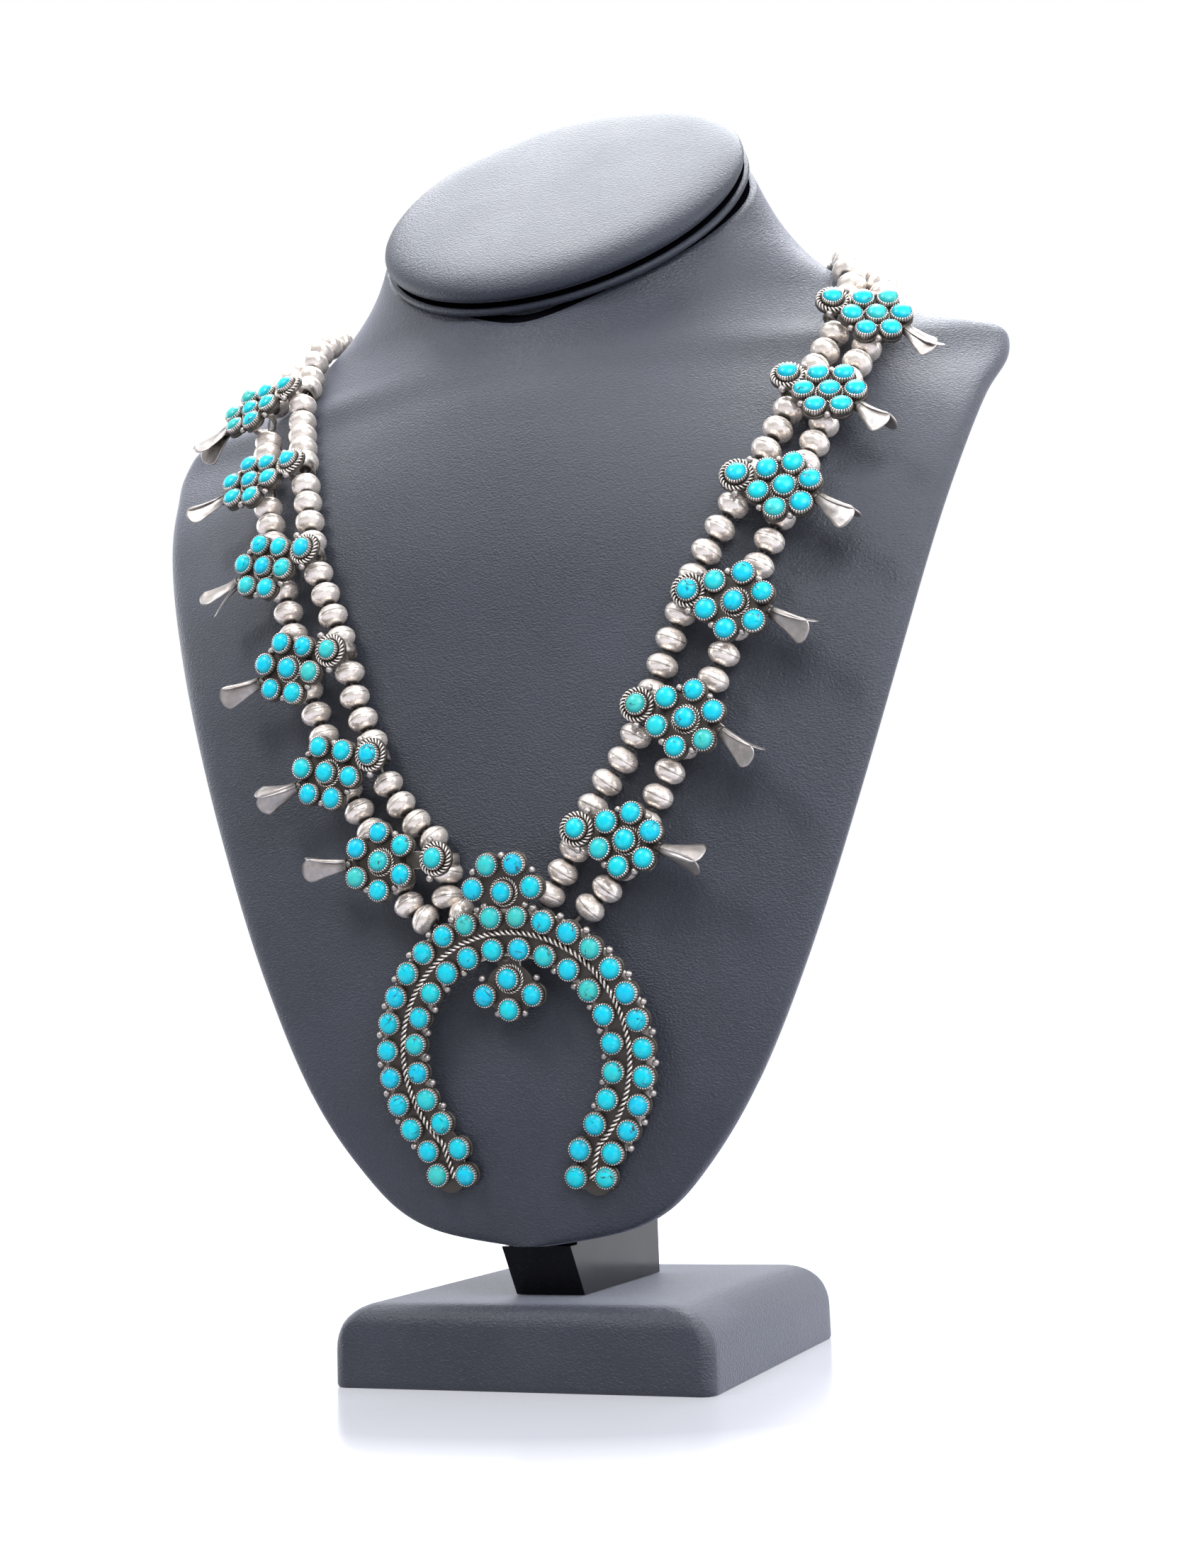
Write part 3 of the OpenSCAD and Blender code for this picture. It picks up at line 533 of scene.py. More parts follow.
def onChest(x, z, lift):
    e = 0.4
    n = np.array([(frontY(x + e, z) - frontY(x - e, z)) / (2 * e), -1,
                  (frontY(x, z + e) - frontY(x, z - e)) / (2 * e)])
    return np.array([x, frontY(x, z), z]) + lift * n / np.linalg.norm(n)


# painted shade: faces deep in the grooves between the neck, its plate and the cap get a plain black material
def paintGrooveShade(obj, around, rows):
    obj.data.materials.append(grooveShade)
    for i in rows:
        for f in range(i * around, (i + 1) * around):
            obj.data.polygons[f].material_index = 1


def makeBust():
    b = bustSet
    n, mid, foot, join = b["around"], b["neckMiddle"], b["foot"], b["join"]
    angles = np.arange(n) * 2 * math.pi / n
    slant = math.tan(math.radians(b["capTilt"]))
    levels = foot + (join - foot) * np.linspace(0, 1, b["lower"]) ** 1.35
    rings = [np.array([sidePoint(a, z) for a in angles]) for z in levels]
    lowest, highest = b["cutRange"]
    cuts = []   # where the slanting cut through the neck meets each side
    for a in angles:
        z = b["cutStart"]
        for _ in range(40):
            z = 0.5 * z + 0.5 * min(highest, max(lowest, mid[2] + (sidePoint(a, z)[1] - mid[1]) * slant))
        cuts.append(z)
    for i in range(1, b["upper"] + 1):
        rings.append(np.array([sidePoint(a, join + (c - join) * i / b["upper"]) for a, c in zip(angles, cuts)]))
    last = rings[-1]
    middle = last.mean(0)
    for share in (0.97, 0.9):   # the cut top, under the plate
        rings.append(middle + (last - middle) * share)
    grid = np.array(rings)
    for _ in range(b["evened"]):   # evens out the light over the shoulders
        grid[1:-4] = 0.25 * grid[:-5] + 0.5 * grid[1:-4] + 0.25 * grid[2:-3]
    points, faces = skin(list(grid))
    obj = makeObject("bustSkin", points, faces, bustLeather)
    # painted shade on the cut top of the neck, under the plate
    paintGrooveShade(obj, n, (len(grid) - 2,))
    return ride(obj, "leatherette", "bust_torso")


makeBust()
print("stage: bust")


# neck discs: [height over the cut neck, share of the full size]
discSet = {
    "halfWidth": 54, "halfLength": 50, "around": 144,
    "plate": {"puff": 0.0, "grooves": (0, 1, 7),
              "rows": [[0.2, 0.9], [1.2, 0.93], [1.3, 0.985], [1.45, 1.0], [1.9, 1.006], [2.6, 1.006],
                       [3.1, 1.0], [3.3, 0.985], [3.32, 0.9]]},
    "cap": {"puff": 0.12, "grooves": (0, 1),
            "rows": [[3.5, 0.93], [4.6, 0.93], [4.65, 0.96], [4.8, 0.977], [5.2, 0.988], [5.8, 0.996],
                     [6.4, 0.999], [7.0, 0.998], [7.7, 0.992], [8.4, 0.98], [9.0, 0.963], [9.5, 0.942],
                     [9.95, 0.915], [10.3, 0.885], [10.6, 0.845], [10.82, 0.8], [10.97, 0.74], [11.08, 0.67],
                     [11.17, 0.58], [11.24, 0.45], [11.28, 0.3], [11.3, 0.15]]}}


def makeDisc(name, made):
    tilt = math.radians(bustSet["capTilt"])
    middle = np.array(bustSet["neckMiddle"])
    along = np.array([0, math.cos(tilt), math.sin(tilt)])
    over = np.array([0, -math.sin(tilt), math.cos(tilt)])
    a = np.arange(discSet["around"]) * 2 * math.pi / discSet["around"]
    rings = []
    for h, k in made["rows"]:
        wave = made["puff"] * k ** 3 * (np.sin(3 * a + 1) * 0.5 + np.sin(7 * a + 2) * 0.3)
        rings.append(middle + (discSet["halfWidth"] * k * np.cos(a))[:, None] * [1, 0, 0]
                     + (discSet["halfLength"] * k * np.sin(a))[:, None] * along + (h + wave)[:, None] * over)
    points, faces = skin(rings)
    # the discs take the dimmed copy of the leatherette: painted shade
    obj = makeObject(name, points, faces, dimmedLeather)
    # painted shade in the grooves round the disc
    paintGrooveShade(obj, discSet["around"], made["grooves"])
    return obj


ride(makeDisc("neckPlateSkin", discSet["plate"]), "leatherette", "neck_plate")
neckCap = ride(makeDisc("neckCapPad", discSet["cap"]), "leatherette", "neck_cap")
print("stage: neck discs")


# base, covered in leatherette that is folded round its corners
baseSet = {"width": 100, "depth": 106, "height": 20.3, "sideRound": 11, "endRound": 5.5, "corner": 3.4,
           "foldAt": 45.5, "foldWide": 0.7, "foldHigh": 0.35, "foldTop": 16.5, "tuck": 0.35, "slack": 0.12}


def baseRing(x, y, z):
    corner = baseSet["corner"]
    corners = [[[sx * (x - corner) + corner * math.cos(t), sy * (y - corner) + corner * math.sin(t), z]
                for t in np.radians(np.linspace(-90, 0, 7) + 90 * q)]
               for q, (sx, sy) in enumerate(((1, -1), (1, 1), (-1, 1), (-1, -1)))]
    points = []
    for q in range(4):
        here, there = np.array(corners[q][-1]), np.array(corners[(q + 1) % 4][0])
        points += corners[q] + [here + (there - here) * u for u in np.linspace(0, 1, 36)[1:-1]]
    return np.array(points)


def makeBase():
    b = baseSet
    hx, hy, top = b["width"] / 2, b["depth"] / 2, b["height"]
    side, end = b["sideRound"], b["endRound"]
    heights = [0, 0.25, 0.8, 2, 4, 6, 8, top - side]
    heights += [top - side + side * math.sin(t) for t in np.radians(np.arange(9, 90, 9))]
    heights = sorted(heights + [top - end + end * math.sin(t) for t in np.radians((5, 20, 45, 68))]) + [top]
    rings = []
    for z in heights:
        ix, iy = (r - math.sqrt(max(0, r * r - max(0, z - top + r) ** 2)) for r in (side, end))
        tuck = b["tuck"] * max(0, 1 - z / 0.8) ** 2
        r = baseRing(hx - ix - tuck, hy - iy - tuck, z)
        # the fold of the cover near the front corners
        front = np.clip((-r[:, 1] - (hy - 6)) / 3, 0, 1) * np.clip((b["foldTop"] - z) / 3, 0, 1)
        for s in (-1, 1):
            lean = s * (b["foldAt"] + 0.1 * z)
            r[:, 1] -= b["foldHigh"] * front * np.exp(-((r[:, 0] - lean) / b["foldWide"]) ** 2)
        # the slack of the cover on its front and back
        slack = b["slack"] * np.sin(r[:, 0] * 0.21 + z * 0.13) * np.clip(1 - abs(z - 9) / 9, 0, 1)
        r[:, 1] += slack * np.sign(r[:, 1])
        rings.append(r)
    edge = rings[-1]
    for share in (0.94, 0.85, 0.7, 0.5, 0.3, 0.12):
        rings.append(edge * [share, share, 1])
    points, faces = skin(rings)
    return ride(makeObject("baseCover", points, faces, bustLeather), "leatherette", "base")


makeBase()


def finishNode(name, material):
    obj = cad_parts[name]
    if not obj.material_slots:
        obj.data.materials.append(material)
    for s in obj.material_slots:
        s.material = material
    return obj


pedestalSet = {"edge": 0.6, "segments": 3, "angle": 30}
edge = finishNode("pedestal", glossBlack).modifiers.new("edge", "BEVEL")
edge.width, edge.segments = pedestalSet["edge"] * mm, pedestalSet["segments"]
edge.limit_method, edge.angle_limit = "ANGLE", math.radians(pedestalSet["angle"])
edge.harden_normals = True
print("stage: base and pedestal")


# strands: on the chest [height, right] and round the neck [right, back, up]
strandSet = {
    "chest": [
        [[120.5, -16.2], [125, -16.2], [129.5, -15.9], [134, -18.6], [140.5, -25.5], [152, -33.5],
         [162.5, -37.5], [174, -42.5], [186, -45.3], [200, -50.5], [214, -56], [229, -60.2], [243, -65.3],
         [257, -71.2], [268, -74], [278, -76.6]],
        [[112.5, -17], [117.5, -26], [129, -31.2], [143, -40.5], [157, -48.5], [172, -54.6], [187, -60],
         [203, -64.5], [219, -70.2], [235, -76.5], [248, -81.8], [260, -86], [271, -88.7]],
        [[118.5, 11.2], [130, 18.6], [142.5, 24.8], [154, 33.5], [168, 40], [183, 45.8], [198, 52],
         [212, 60], [227, 68], [241, 73.6], [255, 78.8], [266, 81.4], [278, 82.4]],
        [[114.5, 21.2], [120, 27], [131, 34.6], [146, 42.8], [160, 50.5], [175, 57.8], [189.5, 63.7],
         [204.5, 70.2], [222, 77.4], [237, 83], [253, 88.2], [264, 91.3], [271, 92]]],
    "neck": [
        [[-78, -2, 284.3], [-78.5, 4.5, 290.8], [-77, 13, 295.6], [-73, 22, 298], [-66, 28.9, 298],
         [-53, 34, 296], [-35, 37.7, 294], [-18, 39.9, 292.5], [-7, 41.3, 291.5]],
        [[-88.7, -1.5, 278], [-88.2, 5.4, 284.4], [-86, 13.7, 288.5], [-81, 22.7, 290.3], [-74, 28, 289.2],
         [-56, 32.8, 286.2], [-37, 36.3, 284.5], [-19, 39.1, 283.5], [-7, 41.3, 283]],
        [[82.3, 1, 284.6], [81.2, 7.5, 290.5], [78.5, 15, 294.6], [74, 22.8, 296.9], [67, 28.7, 296.8],
         [52, 34.3, 295.2], [35, 37.7, 293.7], [18, 39.9, 292.4], [7, 41.3, 291.5]],
        [[91.6, 0, 278], [90.3, 7.5, 284.1], [87.3, 16, 287.5], [82, 23.9, 288.6], [74, 28.2, 287.2],
         [56, 32.8, 285.2], [37, 36.3, 284], [19, 39.1, 283.3], [7, 41.3, 283]]],
    "low": [[1.5, 114], [1.5, 107]], "lift": 4.25, "step": 2.5}

# blossoms from the top down: [height on the inner strand, on the outer strand, droop of the tip, tilt of
# the plate, way to the ring of stones, way to the roped stone, facing of the upper petal, of the lower one]
blossomSet = {
    "left": [[271, 264, 27, 4, 6.8, 12.6, 150, -5], [242, 236.8, 13, 4, 6.8, 12.6, 75, -15],
             [214.3, 211, 15, 2, 6.8, 12.8, 20, -140], [186.5, 182.8, 3, 0, 7.2, 12.9, 82, -15],
             [157.3, 154, 0, 0, 7.2, 13.1, 48, -48], [129.6, 129.8, 4, 0, 7.4, 15.4, 82, -15]],
    "right": [[267.5, 262.5, 25, 0, 6.4, 12.6, 35, -25], [243.5, 238.2, 19, 0, 6.5, 12.6, 80, -20],
              [218, 213.8, 22, 0, 6.5, 12.6, 82, -15], [191.4, 186.7, 13, 0, 7.2, 12.2, 72, -28],
              [163.5, 159, 22, 0, 7.2, 13.1, 80, -20], [134.5, 130.6, 4, 0, 6.7, 13.3, 38, -55]],
    "plateLift": 5.2, "sleeve": 2.8, "tipReach": 11.6, "plate": 7.4, "pad": 3.08, "ropedPad": 4.5,
    "ballRing": 7.9, "ballAngles": [60, 120, 240, 300], "ropedBalls": [1.6, 4.9], "tipRoot": 7.95, "tipOut": 1.6,
    "bridge": [3.4, -5.2, 2.2], "tongue": [4.8, 9.4, 1.3]}
beadSet = {"radius": 4.08, "halfLength": 2.98, "length": 6.2, "pitch": [6.35, 6.8],
           "low": [[2, 4.6], [2, 7], [3, 0.3], [2, 8.5]], "top": [[6, 1], [5, 0.8], [6, 1], [5, 1]],
           "hidden": [1, 1, 0, 1], "collar": [[1.45, 2.95], [1.25, 3.1], [0.75, 3.1], [0.7, 2.2]],
           "around": 20, "dents": 9, "kinds": 4, "seed": 11}


def unit(v):
    return v / np.linalg.norm(v)


def lengthsAlong(pts):
    return np.concatenate([[0], np.cumsum(np.linalg.norm(np.diff(pts, axis=0), axis=1))])


def spline(p, i, u):
    n = len(p) - 1
    a, b, c, d = p[max(0, i - 1)], p[i], p[min(n, i + 1)], p[min(n, i + 2)]
    return 0.5 * (2 * b + (c - a) * u + (2 * a - 5 * b + 4 * c - d) * u * u
                  + (3 * b - a - 3 * c + d) * u ** 3)


def makeStrand(k):
    t = np.array(strandSet["chest"][k], float)
    m = rowSlopes(t)
    lift = strandSet["lift"]
    n = int((t[-1, 0] - t[0, 0]) / strandSet["step"] + 0.5)
    chest = [onChest(rowAt(t, m, z)[1], z, lift) for z in np.linspace(t[0, 0], t[-1, 0], n + 1)]
    x, z = strandSet["low"][k % 2]
    a, b, d = onChest(x, z, lift), chest[0], unit(chest[1] - chest[0])
    reach = np.linalg.norm(b - a)
    c1, c2 = a + np.array([math.copysign(reach * 0.4, b[0] - a[0]), 0, 0]), b - d * reach * 0.28
    low = [(1 - u) ** 3 * a + 3 * (1 - u) ** 2 * u * c1 + 3 * (1 - u) * u * u * c2 + u ** 3 * b
           for u in np.arange(8) / 8]
    p = [chest[-4], chest[-1]] + [np.array(q, float) for q in strandSet["neck"][k]]
    neck = [spline(p, i, u) for i in range(1, len(p) - 1) for u in (0.2, 0.4, 0.6, 0.8, 1)]
    pts = np.array(low + chest + neck)
    return pts, lengthsAlong(pts)


def along(c, s):
    return np.array([np.interp(s, c[1], c[0][:, i]) for i in range(3)])


def heading(c, s):
    return unit(along(c, s + 1) - along(c, s - 1))


def heightPlace(c, z):
    i = int(np.argmax(c[0][:, 2] > z))
    j = max(0, i - 1)
    a, b = c[0][j, 2], c[0][i, 2]
    return c[1][j] + ((z - a) / (b - a) if b > a else 0) * (c[1][i] - c[1][j])


strands = [makeStrand(k) for k in range(4)]


def sleevePlaces(k):
    rows = blossomSet["left" if k < 2 else "right"]
    return [heightPlace(strands[k], rows[i][k % 2]) for i in range(5, -1, -1)]


# how far along its strand each bead's middle lies
def beadPlaces(k):
    p = sleevePlaces(k)
    pitch, sleeve = beadSet["pitch"], blossomSet["sleeve"]
    edge = (sleeve + beadSet["length"]) / 2
    count, off = beadSet["low"][k]
    # one more may hide under the lowest cluster
    places = [p[0] - edge - off - i * pitch[0] for i in range(-beadSet["hidden"][k], count)]
    for a, b in zip(p[:-1], p[1:]):
        room = b - a - sleeve
        n = int(room // pitch[0])
        step = min(pitch[1], room / n)
        if k % 2:   # two show between blossoms, and one more hides under each
            n = 2 * min(2, n // 2)
        places += [(a + b) / 2 + (i - (n - 1) / 2) * step for i in range(n)]
    count, off = beadSet["top"][k]
    return places + [p[5] + edge + off + (i + k % 2) * pitch[0] for i in range(count)]


# beads: two dented halves with a seam between them
def turned(profile, n, poles=(False, False), ring=False):
    points, faces, rows = [], [], []
    a = np.arange(n) * 2 * math.pi / n
    for i, (r, z) in enumerate(profile):
        if (i == 0 and poles[0]) or (i == len(profile) - 1 and poles[1]):
            rows.append([len(points)])
            points.append([0, 0, z])
        else:
            rows.append(list(range(len(points), len(points) + n)))
            points += np.stack([r * np.cos(a), r * np.sin(a), np.full(n, float(z))], 1).tolist()
    pairs = list(zip(rows[:-1], rows[1:])) + ([(rows[-1], rows[0])] if ring else [])
    for lo, hi in pairs:
        for j in range(n):
            k = (j + 1) % n
            if len(lo) == 1:
                faces.append([lo[0], hi[k], hi[j]])
            elif len(hi) == 1:
                faces.append([lo[j], lo[k], hi[0]])
            else:
                faces.append([lo[j], lo[k], hi[k], hi[j]])
    return np.array(points), faces


def makeBead(name, seed):
    rng = np.random.default_rng(seed)
    r, h, collar = beadSet["radius"], beadSet["halfLength"], beadSet["collar"]
    t = np.radians([-66, -52, -38, -24, -12, -3.5, 0, 3.5, 12, 24, 38, 52, 66])
    body = [[r * math.cos(a) ** 0.92 - (0.07 if a == 0 else 0), h * math.sin(a)] for a in t]
    profile = [[x, -z] for x, z in collar[::-1]] + body + collar
    points, faces = turned(profile, beadSet["around"], ring=True)
    away = np.linalg.norm(points[:, :2], axis=1)
    d = points / np.linalg.norm(points, axis=1)[:, None]
    dent = np.zeros(len(points))
    for _ in range(beadSet["dents"]):
        c = unit(rng.normal(size=3) * [1, 1, 0.8])
        dent += rng.uniform(0.04, 0.14) * np.exp((d @ c - 1) / rng.uniform(0.02, 0.07))
    keep = np.clip((away - 1.6) / 0.8, 0, 1)
    points = points * (1 - dent * keep / r)[:, None]
    obj = makeObject(name, points, faces, beadSilver)
    seam = np.exp(-(points[:, 2] / 0.18) ** 2) * 0.6 * (away > 2) + 0.1
    setAttribute(obj, "soot", np.clip(seam + np.clip((abs(points[:, 2]) - 2.5) / 0.5, 0, 0.8), 0, 1))
    return obj


def eulerOf(x, y, z):
    return tuple(Matrix((x, y, z)).transposed().to_euler())


def makeBeads():
    kinds = [makeBead("bead%d" % i, beadSet["seed"] + i) for i in range(beadSet["kinds"])]
    rng = np.random.default_rng(beadSet["seed"])
    for k, name in enumerate(("beads_inner_left", "beads_outer_left", "beads_inner_right", "beads_outer_right")):
        rows = beadPlaces(k)
        which = rng.integers(0, len(kinds), len(rows))
        parts = []
        for q, kind in enumerate(kinds):
            mine = [s for s, drawn in zip(rows, which) if drawn == q]
            if not mine:
                continue
            places, turns, sizes = [], [], []
            for s in mine:
                t = heading(strands[k], s)
                x = unit(np.cross(t, [0.3, 0.9, 0.1]))
                y = np.cross(t, x)
                a = rng.uniform(0, 2 * math.pi)
                places.append(along(strands[k], s))
                turns.append(eulerOf(math.cos(a) * x + math.sin(a) * y, math.cos(a) * y - math.sin(a) * x, t))
                f = rng.uniform(0.975, 1.0)
                sizes.append([f, f, 1])
            parts.append(scatter("part%d" % q, kind, places, turns, beadSilver, sizes))
        ride(joined(name.replace("_", "-") + "-skin", parts), "silver", name)
    for kind in kinds:
        remove(kind)


makeBeads()
print("stage: beads")


# threads, thin through the beads and a thicker twisted cord behind the neck
# wrapFrom is counted in bead lengths from the top blossom, and thinTurns for each point of the line
threadSet = {"wrapFrom": 6.6, "overlap": 3,
             "cord": {"wire": 0.68, "off": 0.52, "strands": 3, "sides": 8}, "cordPitch": 5.2, "cordPoints": 260,
             "thin": {"wire": 0.3, "off": 0.15, "strands": 2, "sides": 6}, "thinTurns": 1.2}


def makeThread(k):
    c, parts, runs = threadSet, [], []
    for q in (k, k + 2):
        pts, run = strands[q]
        far = sleevePlaces(q)[5] + c["wrapFrom"] * beadSet["length"]
        runs.append(pts[run <= far + c["overlap"]])
        line = [along(strands[q], s) for s in np.linspace(far, run[-1], c["cordPoints"])]
        turns = (run[-1] - far) / c["cordPitch"]
        parts.append(makeRope("cordPart", line, turns=turns, material=cordStuff, **c["cord"]))
    line = np.concatenate([runs[0][::-1], runs[1][1:]])
    turns = len(line) * c["thinTurns"]
    parts.append(makeRope("thinPart", line, turns=turns, material=cordStuff, **c["thin"]))
    return joined("thread%d" % k, parts)


ride(makeThread(0), "thread", "thread_inner")
ride(makeThread(1), "thread", "thread_outer")
for name in ("clasp_hook", "clasp_ring"):
    finishNode(name, workSilver)
print("stage: threads")


# the small parts that are soldered on, each standing on the top of a plate
smallSet = {"plate": 1.0, "bezel": 2.93, "teeth": 26, "stone": 2.62, "stoneSide": 1.6, "stoneTop": 3.2,
            "ball": 0.95, "seed": 5}


def makeBezel():
    n = smallSet["teeth"] * 2
    r = smallSet["bezel"]
    a = np.arange(n) * 2 * math.pi / n
    tooth = (np.arange(n) % 2 == 0).astype(float)
    rows = [(np.full(n, r), np.full(n, -0.05)), (np.full(n, r + 0.02), np.full(n, 1.35)),
            (r - 0.1 - 0.08 * (1 - tooth), 1.9 + 0.1 * tooth), (r - 0.27 - 0.12 * tooth, 1.9 + 0.19 * tooth),
            (np.full(n, r - 0.36), np.full(n, 1.1))]
    rings = [np.stack([q * np.cos(a), q * np.sin(a), z], 1) for q, z in rows]
    points, faces = skin(rings, (False, False))
    m = (len(rings) - 1) * n
    faces += [[m + j, m + (j + 1) % n, (j + 1) % n, j] for j in range(n)]
    obj = makeObject("bezel", points, faces, workSilver, smooth=False)
    # the inner edge and the gaps between the teeth are dark: tarnish, and painted shade in the gap round the
    # stone
    setAttribute(obj, "soot", np.concatenate([np.ones(n), 0.75 - 0.35 * tooth, 0.9 - 0.8 * tooth,
                                              0.95 - 0.75 * tooth, np.ones(n)]))
    return obj


def makeCabochon():
    r, side, top = smallSet["stone"], smallSet["stoneSide"], smallSet["stoneTop"]
    crown = [[r * math.cos(t), side + (top - side) * math.sin(t)]
             for t in np.radians([12, 24, 36, 48, 60, 72, 82])]
    points, faces = turned([[0, 0.1], [r, 0.1], [r, side]] + crown + [[0, top]], 20, (True, True))
    obj = makeObject("cabochon", points, faces, turquoise)
    setAttribute(obj, "rim", np.linalg.norm(points[:, :2], axis=1) / r)
    return obj


def makeBall():
    r = smallSet["ball"]
    rows = [[r * math.cos(t), 0.12 + r * math.sin(t)] for t in np.radians([-90, -55, -25, 0, 25, 50, 72, 90])]
    points, faces = turned(rows, 12, (True, True))
    obj = makeObject("ball", points, faces, petalSilver)
    # the ball is darker towards its bottom
    setAttribute(obj, "soot", np.clip(0.9 - (points[:, 2] + 0.5) * 1.2, 0, 1))
    return obj


def circle(r, n, z=0.0, start=0.0, sweep=2 * math.pi):
    a = start + np.arange(n) * sweep / (n if sweep == 2 * math.pi else n - 1)
    return np.stack([r * np.cos(a), r * np.sin(a), np.full(n, z)], 1)


def makeWireRing(name, r, wire, turns):
    line = circle(r, turns * 12, wire * 0.45)
    ring = makeRope(name, line, wire * 0.56, wire * 0.46, turns, workSilver, cyclic=True)
    sootRope(ring, line, wire * 0.98, wire * 0.45)
    return ring


bezelPart, stonePart, ballPart = makeBezel(), makeCabochon(), makeBall()
wideRing = makeWireRing("wideRing", 3.75, 0.7, 12)
thinRing = makeWireRing("thinRing", 3.36, 0.42, 13)


# shapes of a plate are gathered here before they become one mesh: points, faces, soot
def gather(name, shapes, material):
    points, faces, soot, n = [], [], [], 0
    for p, f, s in shapes:
        points.append(np.asarray(p, float))
        faces += [[a + n for a in face] for face in f]
        soot.append(np.broadcast_to(np.asarray(s, float), len(p)))
        n += len(p)
    obj = makeObject(name, np.concatenate(points), faces, material)
    setAttribute(obj, "soot", np.concatenate(soot))
    return obj


# a round plate; lift keeps the tops of plates that cross from lying in one plane
def disc(place, r, lift=0.0):
    top = smallSet["plate"]
    rows = [[0, 0], [r - 0.15, 0], [r, 0.18], [r, top - 0.2], [r - 0.06, top - 0.06], [r - 0.22, top + lift],
            [r * 0.6, top + lift], [0, top + lift]]
    points, faces = turned(rows, 32, (True, True))
    soot = np.interp(np.arange(len(rows)), [0, 3, 4, 5, 6, 7], [0.4, 0.85, 0.75, 0.85, 0.9, 0.95])
    soot = np.repeat(soot, [1] + [32] * (len(rows) - 2) + [1])
    return points + [place[0], place[1], 0], faces, soot


def slab(x0, y0, x1, y1, top=0.99):
    b = 0.15
    rings = [np.array([[x0 + q, y0 + q, z], [x1 - q, y0 + q, z], [x1 - q, y1 - q, z], [x0 + q, y1 - q, z]])
             for q, z in ((b, 0), (0, b), (0, top - b), (b, top))]
    points, faces = skin(rings)
    return points, faces, np.repeat([0.3, 0.4, 0.3, 0.8], 4)


def moved(shape, turn):
    p, f, s = shape
    h = np.concatenate([p, np.ones((len(p), 1))], 1) @ np.array(turn).T
    return h[:, :3], f, s


# a sleeve for the thread, behind the plate, along y
sleeveSet = {"bore": 3.15, "outside": 3.85, "behind": 3.55, "soot": 0.62}


def sleeveShape(length):
    inner, outer, end = sleeveSet["bore"], sleeveSet["outside"], length / 2
    half = [[inner, end - 0.1], [inner + 0.15, end], [outer - 0.15, end], [outer, end - 0.15]]
    points, faces = turned([[r, -z] for r, z in half] + half[::-1], 36, ring=True)
    return points[:, [0, 2, 1]] * [1, 1, -1] - [0, 0, sleeveSet["behind"]], faces, sleeveSet["soot"]


# one petal of the forked tip: half a tube that opens into a fan and bends away from the middle
petalSet = {"along": 16, "across": 11, "root": 8.6, "lift": 0.9, "dents": 12,
            "wideAt": [0, 0.2, 0.45, 0.7, 0.88, 1], "halfWidth": [1.6, 1.75, 2.1, 2.6, 3.1, 3.05],
            "roundAt": [0, 0.25, 0.5, 1], "radius": [1.5, 2.2, 4.5, 11]}


def petalShape(rng, facing, up, reach):
    c = petalSet
    nu, nv = c["along"], c["across"]
    us, vs = np.linspace(0, 1, nu), np.linspace(-1, 1, nv)
    halfWidth = np.interp(us, c["wideAt"], c["halfWidth"]) * rng.uniform(0.94, 1.04)
    radius = np.interp(us, c["roundAt"], c["radius"])
    out = 0.2 + 1.9 * us ** 2 * rng.uniform(0.85, 1.1)
    dents = [(rng.uniform(0.3, 1), rng.uniform(-0.8, 0.8), rng.uniform(-0.16, 0.16)) for _ in range(c["dents"])]
    f = math.radians(facing)
    n = np.array([0, math.sin(f) * up, math.cos(f)])
    lateral = np.cross([1, 0, 0], n)
    faceOut, faceIn = [], []
    for u, wide, r, away in zip(us, halfWidth, radius, out):
        for v in vs:
            t = v * wide / r
            dent = sum(q * math.exp(-((u - a) / 0.12) ** 2 - ((v - b) / 0.35) ** 2) for a, b, q in dents)
            middle = np.array([c["root"] + reach * (u - 0.13 * u * abs(v) ** 3), 0, c["lift"]]) \
                + n * (away + c["lift"] + r * (math.cos(t) - 1) + dent * u) + lateral * r * math.sin(t)
            wall = (n * math.cos(t) + lateral * math.sin(t)) * (0.26 - 0.12 * u)
            faceOut.append(middle + wall)
            faceIn.append(middle - wall)
    m = nu * nv
    faces = []
    for i in range(nu - 1):
        for j in range(nv - 1):
            a, b = i * nv + j, (i + 1) * nv + j
            faces.append([a, a + 1, b + 1, b])
            faces.append([m + a, m + b, m + b + 1, m + a + 1])
    rim = list(range(nv)) + [i * nv + nv - 1 for i in range(1, nu)] \
        + [(nu - 1) * nv + j for j in range(nv - 2, -1, -1)] + [i * nv for i in range(nu - 2, 0, -1)]
    for a, b in zip(rim, rim[1:] + rim[:1]):
        faces.append([b, a, m + a, m + b])
    soot = np.concatenate([np.repeat(np.interp(us, c["roundAt"], [0.7, 0.3, 0.12, 0.05]), nv),
                           np.repeat(np.interp(us, [0, 0.6, 1], [0.9, 0.5, 0.3]), nv)])
    return np.array(faceOut + faceIn), faces, soot


def stemShape():
    rows = [[0, 7.6], [0.9, 7.6], [1.05, 8.4], [1.1, 10.2], [0.8, 10.4], [0, 10.4]]
    points, faces = turned(rows, 16, (True, True))
    return points[:, [2, 0, 1]] + [0, 0, 0.9], faces, 0.6


def aroundRing(ring):
    return [[ring * math.cos(a), ring * math.sin(a)] for a in np.radians(30 + 60 * np.arange(6))]


